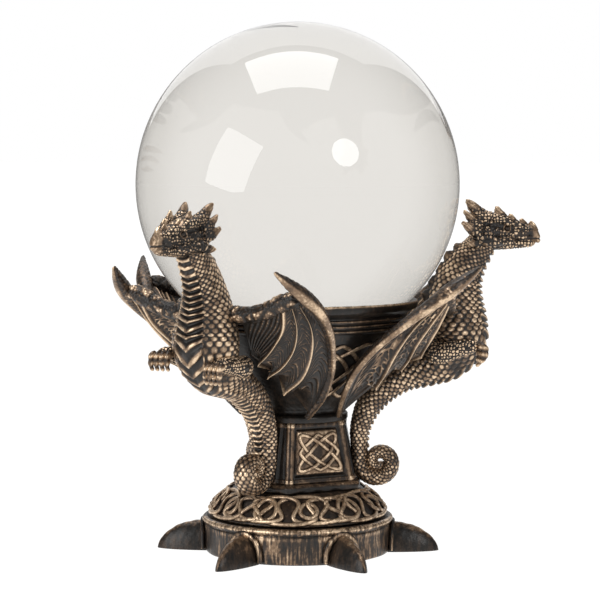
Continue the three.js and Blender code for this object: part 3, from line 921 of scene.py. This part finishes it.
def talon_collar(index):
    """The arched cord on the drum round a talon's root."""
    half, top = 6.0, 10.2
    swing = np.linspace(0, math.pi, 40)
    across = half * np.cos(swing) * (1 - 0.12 * np.sin(swing) ** 6)
    z = 0.9 + (top - 0.9) * np.sin(swing) ** 0.8
    points = []
    for a, height in zip(across / COLLAR_RADIUS, z):
        points.append((COLLAR_RADIUS * math.cos(a), COLLAR_RADIUS * math.sin(a), height, 1.0, 0.75))

    arch = tube(points, (1, 0, 0), 90, 14)
    radial = np.linalg.norm(arch.places[:, :2], axis=1)
    arch.gold = 0.7 * smooth(33.0, 33.6, radial)
    return arch.turned(talon_turn(index))


def make_talons():
    """Horns with a ridge along the back and a flat underside on the floor."""
    root, tip = DRUM_RADIUS - 1.0, -TALON_LOW[1]
    half_width = (TALON_HIGH[0] - TALON_LOW[0]) / 2
    top = TALON_HIGH[2]
    rows, columns = 72, 48
    share = np.sin(np.linspace(0, math.pi / 2, rows))[:, None]
    x = root + (tip - root) * share
    height = top * np.clip(1 - share**2.3, 0, 1) ** 0.6
    width = half_width * np.clip(1 - share**1.9, 0, 1) ** 0.6
    swing = np.linspace(0, math.pi, columns)[None]
    y = width * np.cos(swing)
    z = 0.02 + height * (1 - np.abs(np.cos(swing)) ** 2.1) ** 0.66
    dimple = 0.12 * np.sin(share * 26 + swing * 3) * np.sin(swing * 5 + share * 9)
    grid = np.stack([x + 0 * swing, y, np.maximum(z + dimple * smooth(0.4, 2, z), 0.02)], axis=-1)
    under = np.stack([x + 0 * swing[:, 1:-1], y[:, 1:-1], 0 * y[:, 1:-1] + 0.02], axis=-1)[:, ::-1]
    ring = np.concatenate([grid, under], axis=1)
    ridge = smooth(0.8, 1, np.sin(swing)) * 0.5 + 0.1 + 0 * x
    gold = np.concatenate([ridge, 0 * under[..., 0]], axis=1)
    mesh = to_mesh("talon", closed_grid(ring, gold))
    for i in range(TALON_COUNT):
        copy = turned_copy(mesh, talon_turn(i))
        piece(f"talon_{i + 1}_casting", copy, TALON_BRONZE, [f"talon_{i + 1}"])


# ---------------------------------------------------------------- dragon
ACROSS = (0, 1, 0)
UP = (0, 0, 1)


def tail_curl():
    """The tail's inward spiral, seen from the side."""
    centre_x, centre_z, start_radius, sweep = 27.9, 30.6, 6.7, 520
    rows = []
    for share in np.linspace(0, 1, 16):
        angle = math.radians(180 + sweep * share)
        radius = start_radius * (1 - 0.9 * share**0.88)
        x, z = centre_x + radius * math.cos(angle), centre_z + radius * math.sin(angle)
        rows.append((x, 0, z, mix(2.75, 1.3, share**1.2), mix(4.4, 2.4, share)))
    return rows


SPINE = [
    (63, 0, 106, 4.6, 4.4),
    (60.6, 0, 102.6, 5.3, 4.9),
    (57.4, 0, 98, 6.4, 5.4),
    (54.9, 0, 92.5, 7.7, 6),
    (53.6, 0, 86, 9.3, 7.6),
    (53.5, 0, 79, 10.6, 9),
    (53.3, 0, 72.5, 10.8, 9.2),
    (50.2, 0, 67.1, 8.7, 8.6),
    (44, 0, 63.5, 6.7, 7.6),
    (36, 0, 60.1, 5.2, 6.5),
    (29, 0, 55.3, 4.7, 5.9),
    (23.8, 0, 48.8, 4.0, 5.4),
    (21.2, 0, 41, 3.0, 5),
    (21.2, 0, 35.8, 2.7, 4.7),
] + tail_curl()


def along_body(along, values):
    """A value that changes down the body: throat, neck, chest, belly, loin, tail, curl, tip."""
    stops = [0, 12, 28, 42, 60, 80, 98, 122]
    return np.interp(along, stops, values)


SCALE_SIZES = [1.5, 2.0, 2.7, 2.5, 2.4, 2.1, 2.1, 1.5]


def scale_rows(along, share, girth):
    """How far up its scale each place is, and how brightly that scale is rubbed."""
    size = along_body(along, SCALE_SIZES)
    step = size * 0.52
    q = np.cumsum(np.gradient(along[:, 0]) / step[:, 0])[:, None]
    whole = np.arange(int(q.max()) + 4)
    row_girth = np.interp(whole, q[:, 0], girth[:, 0])
    row_size = np.interp(whole, q[:, 0], size[:, 0])
    row_count = np.maximum(6, np.round(row_girth / row_size)).astype(int)
    best = np.zeros((len(along), share.shape[1]))
    shine = np.zeros_like(best)
    nearest = np.round(q).astype(int)
    for offset in (-1, 0, 1):
        row = np.clip(nearest + offset, 0, len(whole) - 1)
        count = row_count[row]
        place = share * count + 0.5 * (row % 2)
        column = np.round(place)
        wide = np.abs(place - column) / 0.53
        tall = q - row
        tip, root = np.clip(tall, 0, 2), np.clip(-tall, 0, 2)
        dome = np.clip(1 - wide**2.3 - tip**2.2 - 0.7 * root, 0, 1) ** 0.55 * (0.78 + 0.34 * tall)
        cell = np.stack(np.broadcast_arrays(row, (column % count).astype(int), 7), axis=-1)
        chance = lattice_noise(cell, 5)[..., 0]
        taken = dome > best
        best = np.where(taken, dome, best)
        shine = np.where(taken, 0.44 + 0.5 * chance, shine)
    return best, shine


def body_relief(along, share, length, girth):
    """Overlapping scales, broad plates down the throat and chest, and a crest down the back."""
    signed = (share + 0.5) % 1 - 0.5
    aside = np.abs(signed) * girth
    scale, shine = scale_rows(along, share, girth)
    size = along_body(along, SCALE_SIZES)
    height = (scale * 0.42 - 0.17) * size
    gold = smooth(0.42, 0.8, scale) * shine

    chevron = along_body(along, [0.2, 0.22, 0.35, 0.42, 0.4, 0.3, 0.2, 0.2])
    spacing = along_body(along, [2.6, 2.8, 2.7, 2.3, 2.4, 2.4, 2.0, 1.5])
    half = along_body(along, [2.6, 4.2, 6.0, 6.0, 4.2, 1.9, 0.8, 0.3])
    counted = np.cumsum(np.gradient(along[:, 0]) / spacing[:, 0])
    turn = np.interp(along + chevron * aside, along[:, 0], counted) % 1
    lip = smooth(0.12, 0.72, turn) * smooth(1.0, 0.86, turn)
    plate = 1.0 * lip - 0.3
    edge_hook = bell(aside - half + 0.5, 0.5)
    inside = smooth(0.0, 0.7, half - aside)
    height = mix(height, plate * (spacing / 2.7) + 0.3 * edge_hook * lip, inside)
    worn = 0.7 + 0.3 * np.sin(along * 1.9 + aside * 0.8) * np.sin(along * 0.7 - aside * 1.3)
    gold = mix(gold, smooth(0.45, 1.05, lip + 0.2 * edge_hook * lip) * worn, inside)

    from_back = (0.5 - np.abs(signed)) * girth
    tooth = (along / 3.9) % 1
    peak = np.clip(1 - np.abs(tooth - 0.62) / 0.42, 0, 1) ** 0.7
    reach = smooth(3, 9, along) * smooth(58, 44, along)
    ridge = np.exp(-((from_back / 1.3) ** 4)) * reach
    height = height + ridge * (0.3 + 2.0 * peak)
    gold = mix(gold, 0.3 * peak**2, np.clip(ridge * 2, 0, 1))

    shoulder_along = (along - 33.0) / 9.5
    shoulder_aside = (np.abs(signed) - 0.235) * girth / 6.5
    bulge = np.exp(-(shoulder_along**2 + shoulder_aside**2) * 1.4)
    hollow = np.exp(-(((along - 42) / 2.2) ** 2 + ((np.abs(signed) - 0.15) * girth / 3.2) ** 2))
    return height + 1.9 * bulge - 1.0 * hollow, gold * (1 - 0.8 * hollow)


def dragon_body():
    return tube(SPINE, ACROSS, 520, 184, body_relief)


HEAD = [
    (59.4, 0, 109.6, 3.4, 3.0),
    (62.0, 0, 109.9, 5.0, 4.9),
    (65.5, 0, 109.9, 5.6, 5.5),
    (69.5, 0, 109.7, 4.9, 4.7),
    (73.5, 0, 109.2, 3.9, 3.7),
    (77.0, 0, 108.5, 3.3, 3.2),
    (79.6, 0, 108.0, 3.0, 3.0),
    (81.2, 0, 107.4, 1.9, 2.0),
]
JAW = [
    (62.5, 0, 105.2, 2.4, 4.2),
    (67.5, 0, 105.2, 2.0, 3.7),
    (73.0, 0, 105.3, 1.7, 3.0),
    (78.0, 0, 105.5, 1.4, 2.5),
    (80.8, 0, 105.8, 1.0, 1.6),
]
BROW = [
    (60.5, 3.6, 114.0, 1.0, 1.2),
    (64.5, 4.5, 114.6, 1.4, 1.6),
    (69.0, 4.2, 113.5, 1.5, 1.6),
    (73.5, 3.0, 112.0, 1.2, 1.3),
    (77.5, 1.9, 110.9, 0.8, 1.0),
]
CHEEK = [
    (60.5, 4.6, 107.5, 1.2, 1.6),
    (64.5, 5.3, 106.6, 1.9, 2.2),
    (69.0, 4.3, 106.2, 1.5, 1.9),
    (74.0, 3.0, 106.6, 0.9, 1.3),
]
# Horns, ears and spikes on the left of the head: the points of each and how flat it is.
HORNS = [
    [
        (64.6, 3.0, 113.0, 2.8, 2.4),
        (61.4, 4.0, 115.6, 2.2, 1.9),
        (59.0, 4.7, 118.2, 1.6, 1.3),
        (57.3, 5.3, 120.2, 0.5, 0.5),
    ],
    [(62.2, 4.6, 111.4, 2.2, 1.8), (59.0, 5.8, 113.8, 1.6, 1.3), (56.5, 6.6, 116.4, 0.5, 0.4)],
    [(62.0, 5.0, 108.8, 2.4, 1.4), (58.6, 6.4, 110.6, 1.8, 1.1), (55.8, 7.4, 112.3, 0.5, 0.4)],
    [(62.4, 4.8, 105.8, 1.9, 1.1), (59.4, 5.8, 105.6, 1.3, 0.9), (57.2, 6.4, 105.3, 0.4, 0.4)],
    [(69.6, 3.4, 112.6, 2.8, 1.3), (68.4, 3.6, 115.2, 1.9, 1.0), (67.5, 3.8, 118.0, 0.4, 0.4)],
    [(73.6, 2.5, 111.2, 2.3, 1.1), (72.7, 2.7, 113.4, 1.4, 0.8), (72.0, 2.8, 115.4, 0.4, 0.3)],
]
CREST = [
    [(77.0, 0, 110.3, 2.3, 1.2), (76.3, 0, 112.2, 1.4, 0.9), (75.7, 0, 113.9, 0.4, 0.3)],
    [(79.9, 0, 109.2, 2.1, 1.6), (79.5, 0, 111.2, 1.4, 1.0), (78.9, 0, 113.0, 0.4, 0.4)],
    [(65.5, 0, 114.0, 1.9, 1.1), (64.4, 0, 115.4, 1.2, 0.8), (63.4, 0, 116.6, 0.4, 0.3)],
    [(61.6, 0, 112.8, 1.7, 1.0), (60.3, 0, 114.0, 1.1, 0.8), (59.0, 0, 114.8, 0.4, 0.3)],
]
BEAK = [
    (79.9, 0, 109.6, 1.5, 2.1),
    (81.0, 0, 108.0, 1.2, 1.9),
    (81.5, 0, 106.4, 0.9, 1.4),
    (81.3, 0, 105.4, 0.4, 0.6),
]
EYE = np.array([71.0, 4.0, 110.5])
EYE_RADIUS = 0.9
EYE_GROOVE = (np.array([62.5, 5.2, 112.6]), np.array([72.0, 3.9, 110.3]))
NOSTRIL = np.array([79.0, 2.9, 108.2])


def both_sides(rows):
    return [rows, [(x, -y, *rest) for x, y, *rest in rows]]


def near(places, spot, radius):
    """1 at a spot or its mirror image, falling to 0 at that distance."""
    other = spot * np.array([1, -1, 1])
    left = np.linalg.norm(places - spot, axis=1)
    right = np.linalg.norm(places - other, axis=1)
    return bell(np.minimum(left, right), radius)


def dragon_head():
    shells = [tube(HEAD, ACROSS, 60, 32, round_ends=2.5), tube(JAW, ACROSS, 40, 24, round_ends=1.5)]
    shells.append(tube(BEAK, ACROSS, 30, 20, round_ends=0.6))
    for rows in both_sides(BROW) + both_sides(CHEEK):
        shells.append(tube(rows, ACROSS, 40, 16, round_ends=1.2))
    horns = [rows for pair in HORNS for rows in both_sides(pair)] + CREST
    shells += [tube(rows, ACROSS, 24, 12, round_ends=0.4) for rows in horns]
    places, normals, faces = fused(shells, 0.24)

    tips = np.array([rows[-1][:3] for rows in horns])
    roots = np.array([rows[0][:3] for rows in horns])
    on_horn = np.zeros(len(places))
    for tip, root in zip(tips, roots):
        share, apart = along_segment(places, root, tip)
        on_horn = np.maximum(on_horn, smooth(2.2, 1.2, apart) * smooth(0.25, 0.6, share))

    behind_eye = smooth(71, 64, places[:, 0]) * smooth(111.5, 109, places[:, 2])
    cell = mix(pebbles(places, 1.05, 0.6, seed=3), pebbles(places, 1.5, 0.6, seed=8), behind_eye)
    mouth_z = np.interp(places[:, 0], [66, 73, 81.5], [106.2, 106.5, 107.0])
    mouth = bell(places[:, 2] - mouth_z, 0.28) * smooth(68.5, 71, places[:, 0])
    mirrored = np.stack([places[:, 0], np.abs(places[:, 1]), places[:, 2]], axis=1)
    share, apart = along_segment(mirrored, *EYE_GROOVE)
    share = np.clip(share, 0, 1)
    socket = bell(apart, mix(0.6, 1.3, share)) * mix(0.4, 1.0, share**2)
    nostril = near(places, NOSTRIL, 1.4)
    snout = smooth(79.0, 80.3, places[:, 0])
    bare = smooth(0.2, 0.6, socket) + smooth(0.08, 0.4, nostril) + snout
    skin = (1 - on_horn) * (1 - np.clip(bare, 0, 1))
    grooves = 0.1 * np.sin(places @ np.array([4.0, 1.5, 5.0])) * on_horn
    lid = bell(np.linalg.norm(mirrored - EYE, axis=1) - 1.25, 0.3)
    height = 0.36 * (cell - 0.45) * skin - 0.35 * mouth - 0.9 * socket - 1.5 * nostril
    height = height + grooves + 0.35 * lid
    places = places + normals * height[:, None]
    gold = 0.8 * smooth(0.5, 1.0, cell) * skin + on_horn * (0.25 + 0.4 * on_horn**3) + 0.6 * snout
    hidden = np.clip(mouth + smooth(0.15, 0.5, socket) + smooth(0.1, 0.6, nostril), 0, 1)
    gold = np.clip(gold, 0, 1) * (1 - hidden) + 0.5 * lid
    eyes = []
    for side in (1, -1):
        centre = EYE * np.array([1, side, 1]) - np.array([0, side * 0.75, 0])
        eyes.append(eyeball(centre, side))
    return joined([Shell(places, faces, gold)] + eyes)


def eyeball(centre, side):
    x, y, z = centre
    outwards = side * EYE_RADIUS
    rows = [(x, y + step * outwards, z, EYE_RADIUS, EYE_RADIUS) for step in (-1, 0, 1)]

    def pupil(along, share, length, girth):
        middle = along / length
        slit = bell(np.cos(share * math.tau), 0.35) * smooth(0.7, 0.9, middle)
        return -0.1 * slit, 0.05 * (1 - slit)

    return tube(rows, UP, 30, 28, pupil, round_ends=EYE_RADIUS)


# ---------------------------------------------------------------- wings
WING_ARM = [
    (50, 4, 84.5, 3.1, 3),
    (50.4, 12, 84.3, 2.9, 2.8),
    (50.6, 20, 85.6, 2.7, 2.6),
    (50.4, 28, 89, 2.9, 2.8),
    (50.2, 33.5, 90.6, 2.6, 2.4),
]
WING_FINGER = [
    (61.3, 31.2, 99, 0.5, 0.5),
    (56, 33.5, 95, 1.9, 1.8),
    (50.5, 35.4, 91, 2.7, 2.4),
    (44.8, 36.4, 86.8, 2.3, 2),
    (35.4, 34.4, 79.6, 1.8, 1.6),
    (26.7, 30.2, 72, 1.5, 1.4),
    (20.4, 26, 64, 1.3, 1.3),
    (16.8, 20.6, 55.6, 1.2, 1.2),
    (14.6, 13, 47.6, 0.9, 0.9),
]
WEB_LINES = [
    [(50, 10.6, 84.6), (48.4, 11, 80.6), (46.8, 11.2, 77), (45.8, 11.4, 74), (45.2, 11.6, 71)],
    [(50.4, 28, 87.6), (47.4, 25.6, 80.6), (44.6, 20.4, 75), (42.6, 16, 71.4), (41.4, 11.4, 68.4)],
    [(50.2, 30.4, 88.4), (44.8, 28.4, 80.4), (40.2, 24.4, 73.6), (37, 18, 67.4), (34.6, 10.8, 63.6)],
    [(49.4, 32.6, 89.2), (40.6, 31, 81), (34.8, 27.6, 72.8), (29.8, 21, 63.6), (26, 11.6, 57.4)],
    [(48.6, 35.4, 89.6), (36.4, 33.6, 80), (26.7, 29.6, 71.6), (19.6, 24, 61.6), (15, 14.6, 49.4)],
]
WEB_THICKNESS = 1.1
SCALLOP = 0.16
BAY_COLUMNS = 44
WEB_ROWS = 120


def web_surface():
    """The webbing's middle surface, with each place's share of its bay and of the way down."""
    bays = len(WEB_LINES) - 1
    columns = bays * BAY_COLUMNS + 1
    lines = np.stack([spline(line, 200) for line in WEB_LINES])
    across = np.arange(columns) / BAY_COLUMNS
    down = np.linspace(0, 1, WEB_ROWS)
    grid = np.zeros((WEB_ROWS, columns, 3))
    for c, place in enumerate(across):
        drawn_up = SCALLOP * math.sin(math.pi * (place % 1))
        stops = down * (1 - drawn_up) * 199
        axes = [[np.interp(stops, np.arange(200), axis) for axis in line.T] for line in lines]
        grid[:, c] = between_lines(np.array(axes).swapaxes(1, 2), place)
    return grid, across[None], down[:, None]


def between_lines(points, place):
    """Catmull-Rom across the webbing's lines, at place lines from the first."""
    first = min(int(place), len(points) - 2)
    t = place - first
    a = points[max(first - 1, 0)] if first else 2 * points[0] - points[1]
    b, c = points[first], points[first + 1]
    d = points[first + 2] if first + 2 < len(points) else 2 * c - b
    return 0.5 * (2 * b + (c - a) * t + (2 * a - 5 * b + 4 * c - d) * t**2 + (3 * b - a - 3 * c + d) * t**3)


def wing_web(netted):
    """Webbing with a raised finger along each line, wrinkles or a net of veins on its face."""
    grid, across, down = web_surface()
    normals = grid_normals(grid)
    bay = across % 1
    to_finger = np.minimum(bay, 1 - bay)
    last = len(WEB_LINES) - 1
    width = mix(0.075, 0.05, down)
    finger = bell(to_finger, width) * (across > 0.3) * (across < last - 0.2)
    finger = finger * smooth(-0.02, 0.06, down)
    sag = np.sin(math.pi * bay) * smooth(0, 0.3, down)
    uneven = 0.35 * np.sin(down * 11 + across * 5) + 0.25 * np.sin(down * 23 - across * 8)
    hanging = down * 17 + 1.3 * np.sin(math.pi * bay) + 1.1 * bay + np.floor(across) * 0.7 + uneven
    trailing_back = bay * 9 + 3.5 * down
    arc = np.where(across < 1, trailing_back, hanging)
    saw = (arc % 1) ** 1.5 * smooth(1.0, 0.85, arc % 1)
    wrinkle = 1.4 * saw * smooth(0.05, 0.16, to_finger)
    if netted:
        spots = np.stack(np.broadcast_arrays(across * 4.2, down * 17, 0), axis=-1)
        cell = pebbles(spots, 1.0, 0.8, seed=33)
        wrinkle = 0.9 * smooth(0.8, 0.1, cell) * smooth(0.05, 0.16, to_finger)
    trailing = smooth(0.975, 0.99, down)
    front = WEB_THICKNESS / 2 - 0.9 * sag + 0.95 * finger + 0.36 * wrinkle + 0.25 * trailing
    worn = 0.6 + 0.4 * np.sin(down * 19 + across * 6) * np.sin(down * 7 - across * 13)
    front_gold = finger * 0.85 + (0.85 if netted else 0.48) * worn * wrinkle**2 * (1 - finger)

    cross_vein = bell((down * 21 + 0.4 * np.sin(across * 9)) % 1 - 0.5, 0.12)
    long_vein = bell((bay * 3) % 1 - 0.5, 0.1)
    vein = np.maximum(cross_vein * 0.8, long_vein) * (1 - finger)
    back = WEB_THICKNESS / 2 + 0.9 * sag - 0.35 * (1 - trailing) + 0.7 * finger + 0.26 * vein
    back_gold = finger * 0.8 + 0.5 * vein

    face = grid - normals * front[..., None]
    rear = grid + normals * back[..., None]
    ring = np.concatenate([face, rear[:, ::-1]], axis=1)
    gold = np.concatenate([front_gold + 0 * face[..., 0], (back_gold + 0 * rear[..., 0])[:, ::-1]], axis=1)
    return closed_grid(ring, gold)


def bone_spots(along, angle, radius):
    """Places on an unrolled bone, on which its skin's pebbles are laid."""
    return np.stack(np.broadcast_arrays(along, np.cos(angle) * radius, np.sin(angle) * radius), axis=-1)


def wing_bone(along, share, length, girth):
    """A bone with a gold ridge along its outer face and a net of veins above it."""
    ridge = np.cos((share + 0.13) * math.tau)
    spots = bone_spots(along * 0.7, share * math.tau, girth / math.tau)
    cell = pebbles(spots, 1.1, 0.9, seed=21)
    flat = smooth(0.62, 0.95, ridge)
    height = 0.3 * flat + 0.16 * (cell - 0.5) * (1 - flat) - 0.05 * flat * (1 - cell)
    worn = 0.5 + 0.5 * np.sin(along * 0.45 + 1.3) * np.sin(along * 0.19)
    return height, flat * (0.45 + 0.25 * worn + 0.1 * cell) + 0.35 * (1 - cell) * (1 - flat)


def arm_bone(along, share, length, girth):
    """Pebbled skin over larger lumps, rubbed to gold along the top."""
    angle = share * math.tau
    spots = bone_spots(along * 0.8, angle, 2.6)
    cell = pebbles(spots, 1.0, 0.9, seed=9)
    lumps = pebbles(spots, 3.4, 0.9, seed=4)
    top = smooth(-0.2, 0.6, np.cos(angle - 0.6))
    gold = (0.25 + 0.6 * top) * lumps * (0.55 + 0.45 * cell)
    return 0.24 * cell + 0.4 * lumps - 0.3, gold


def dragon_wing(netted):
    arm = tube(WING_ARM, UP, 130, 64, arm_bone, round_ends=2.0)
    finger = tube(WING_FINGER, UP, 260, 48, wing_bone, round_ends=0.8)
    return joined([wing_web(netted), arm, finger])


# ---------------------------------------------------------------- forelegs
FORELEGS = {
    "left": {
        "leg": [
            (45, 8.6, 67.6, 3.4, 3.0),
            (49, 10.6, 67.4, 3.5, 3.1),
            (54, 10.9, 68.2, 2.8, 2.6),
            (59, 9.9, 68.8, 2.3, 2.8),
            (61.6, 9.4, 68.4, 1.6, 2.4),
        ],
        "knuckle": (60.8, 9.3, 68.6),
        "reach": (1.6, -0.8, -6.0),
        "spread": (0.3, 2.2, 0),
    },
    "right": {
        "leg": [
            (45, -9.0, 68.8, 3.4, 3.0),
            (49, -11.0, 69.0, 3.5, 3.1),
            (54, -11.8, 70.2, 2.8, 2.6),
            (59, -11.9, 71.4, 2.3, 2.8),
            (61.6, -11.9, 71.2, 1.6, 2.4),
        ],
        "knuckle": (60.6, -11.9, 71.4),
        "reach": (1.6, -0.6, -5.4),
        "spread": (0.5, -2.1, 0),
    },
}
TOES = 4


def dragon_foreleg(hand):
    shape = FORELEGS[hand]
    reach, spread = np.array(shape["reach"]), np.array(shape["spread"])
    shells = [tube(shape["leg"], ACROSS, 60, 28, round_ends=1.8)]
    toe_lines = []
    for i in range(TOES):
        start = np.array(shape["knuckle"]) + spread * (i - (TOES - 1) / 2) * 0.85
        first = start + reach * 0.16 + np.array([1.4, 0, 0.6])
        middle = start + reach * 0.55 + np.array([1.2, 0, 0])
        end = start + reach + np.array([-0.8, 0, 0])
        rows = [(*start, 1.2, 0.8), (*first, 1.3, 0.82), (*middle, 1.05, 0.72), (*end, 0.4, 0.32)]
        toe_lines.append((first, end))
        shells.append(tube(rows, ACROSS, 30, 14, round_ends=0.7))
    places, normals, faces = fused(shells, 0.2)
    on_toe = np.zeros(len(places))
    joint = np.zeros(len(places))
    for first, end in toe_lines:
        share, apart = along_segment(places, first, end)
        close = smooth(2.4, 1.5, apart) * smooth(-0.6, -0.1, share)
        on_toe = np.maximum(on_toe, close)
        joint = np.maximum(joint, close * (0.5 + 0.5 * np.cos(share * 14)))
    cell = pebbles(places, 1.05, 0.6, seed=11)
    height = 0.36 * (cell - 0.45) * (1 - on_toe) + 0.2 * joint
    gold = smooth(0.45, 1.0, cell) * (1 - on_toe) + on_toe * (0.2 + 0.6 * joint)
    return Shell(places + normals * height[:, None], faces, gold)


def clear_of_ball(shell):
    """Presses what would stand inside the ball down to just outside the glass."""
    centre = np.array([0, 0, BALL_CENTRE_Z])
    away = shell.places - centre
    reach = np.linalg.norm(away, axis=1)
    pressed = np.maximum(reach, BALL_RADIUS + GLASS_GAP)
    return Shell(centre + away * (pressed / reach)[:, None], shell.faces, shell.gold)


def make_dragons():
    meshes = {
        "body": (to_mesh("body", clear_of_ball(dragon_body())), SCALE_BRONZE),
        "head": (to_mesh("head", dragon_head()), SKIN_BRONZE),
        "left_wing": (to_mesh("left_wing", dragon_wing(False)), WING_BRONZE),
        "right_wing": (to_mesh("right_wing", dragon_wing(True).mirrored()), WING_BRONZE),
        "left_foreleg": (to_mesh("left_foreleg", dragon_foreleg("left")), SKIN_BRONZE),
        "right_foreleg": (to_mesh("right_foreleg", dragon_foreleg("right")), SKIN_BRONZE),
    }
    for place, degrees in DRAGON_TURNS.items():
        for part, (mesh, finish) in meshes.items():
            name = f"{place}_dragon_{part}"
            piece(name + "_casting", turned_copy(mesh, degrees), finish, [name])


# ---------------------------------------------------------------- studio
# How bright the studio is through the glass, and how dim the room is in reflections.
STUDIO_GLOW = 1.075
ROOM_GLOW = 0.22
CAMERA_TURN = math.radians(33)
CAMERA_DISTANCE = 0.716
CAMERA_HEIGHT = 0.135
CAMERA_DROP = math.radians(3.93)
CAMERA_LENS = 126.1


def from_camera(right, up, towards):
    """A direction given as the camera sees it, turned into the row frame."""
    c, s = math.cos(CAMERA_TURN), math.sin(CAMERA_TURN)
    return Vector((c * right + s * towards, s * right - c * towards, up))


def make_camera():
    camera = bpy.data.objects.new("camera", bpy.data.cameras.new("camera"))
    bpy.context.scene.collection.objects.link(camera)
    camera.location = from_camera(0, 0, CAMERA_DISTANCE) + Vector((0, 0, CAMERA_HEIGHT))
    camera.rotation_euler = (math.pi / 2 - CAMERA_DROP, 0, CAMERA_TURN)
    camera.data.lens = CAMERA_LENS
    camera.data.sensor_width = 36
    camera.data.shift_x = 0.004
    camera.data.clip_start = 0.01
    bpy.context.scene.camera = camera


def softbox(name, direction, distance, width, height, brightness, shape="RECTANGLE", roll=0.0):
    """A soft light that shines at the middle of the ball with an even brightness over its face."""
    light = bpy.data.lights.new(name, "AREA")
    light.shape = shape
    light.size = width
    light.size_y = height
    area = width * height * (math.pi / 4 if shape == "DISK" else 1)
    light.energy = brightness * math.pi * area
    lamp = bpy.data.objects.new(name, light)
    lamp.visible_transmission = False
    bpy.context.scene.collection.objects.link(lamp)
    target = Vector((0, 0, BALL_CENTRE_Z * MM))
    lamp.location = target + direction.normalized() * distance
    facing = (-direction).to_track_quat("-Z", "Y")
    lamp.rotation_euler = (facing @ Quaternion((0, 0, 1), math.radians(roll))).to_euler()
    return lamp


def make_lights():
    softbox("overhead", from_camera(-0.05, 0.998, 0.03), 1.5, 1.15, 0.95, 4.6, roll=59)
    softbox("left_window", from_camera(-0.705, 0.255, 0.66), 1.7, 0.95, 1.1, 3.2, roll=-17)
    softbox("right_umbrella", from_camera(0.53, 0.368, 0.763), 1.9, 0.62, 0.62, 6.0, "DISK")
    softbox("rear_panel", from_camera(0.0, 0.62, -0.78), 1.6, 1.85, 1.7, 1.0)


def make_world():
    """White to the camera and through the glass, and a dim room for light and reflections."""
    world = bpy.data.worlds.new("studio")
    world.use_nodes = True
    bpy.context.scene.world = world
    nodes, links = world.node_tree.nodes, world.node_tree.links
    path = nodes.new("ShaderNodeLightPath")
    room = (ROOM_GLOW, 0.215, 0.21, 1)
    through = (STUDIO_GLOW, 1.07, 1.059, 1)
    for_glass = nodes.new("ShaderNodeMix")
    for_camera = nodes.new("ShaderNodeMix")
    choices = ((for_glass, "Is Transmission Ray", through), (for_camera, "Is Camera Ray", (1, 1, 1, 1)))
    for seen, ray, shown in choices:
        seen.data_type = "RGBA"
        seen.inputs["A"].default_value = room
        seen.inputs["B"].default_value = shown
        links.new(path.outputs[ray], seen.inputs["Factor"])
    links.new(for_glass.outputs["Result"], for_camera.inputs["A"])
    links.new(for_camera.outputs["Result"], nodes["Background"].inputs["Color"])


def make_floor():
    """A floor that glows white, and is as dim as the room in the glass's sharp reflections."""
    half = 30.0
    mesh = bpy.data.meshes.new("floor")
    corners = [(-half, -half), (half, -half), (half, half), (-half, half)]
    mesh.from_pydata([(x, y, -0.0002) for x, y in corners], [], [(0, 1, 2, 3)])
    floor = bpy.data.objects.new("floor", mesh)
    bpy.context.scene.collection.objects.link(floor)
    made, nodes, links = material("white_floor")
    shader = nodes["Principled BSDF"]
    set_inputs(shader, {"Base Color": (0.01, 0.01, 0.0098, 1), "Emission Color": (1, 0.995, 0.985, 1)})
    set_inputs(shader, {"Roughness": 0.9, "Specular IOR Level": 0.0})
    path = nodes.new("ShaderNodeLightPath")
    in_glass_reflection = nodes.new("ShaderNodeMath")
    in_glass_reflection.operation = "MULTIPLY"
    links.new(path.outputs["Is Reflection Ray"], in_glass_reflection.inputs[0])
    links.new(path.outputs["Is Singular Ray"], in_glass_reflection.inputs[1])
    dimmed = in_glass_reflection.outputs["Value"]
    glow = map_range(nodes, links, dimmed, (0, 1), (STUDIO_GLOW, ROOM_GLOW))
    links.new(glow, shader.inputs["Emission Strength"])
    mesh.materials.append(made)


def make_view():
    bpy.context.scene.view_settings.view_transform = "Standard"


# ---------------------------------------------------------------- making it all
make_camera()
make_ball()
make_seat_ring()
make_felt_pad()
make_cup()
make_column()
for panel, panel_turn in PANEL_TURNS.items():
    make_panel(panel, panel_turn)
make_foot()
make_dome()
make_band()
make_drum()
make_talons()
make_dragons()
make_lights()
make_world()
make_floor()
make_view()
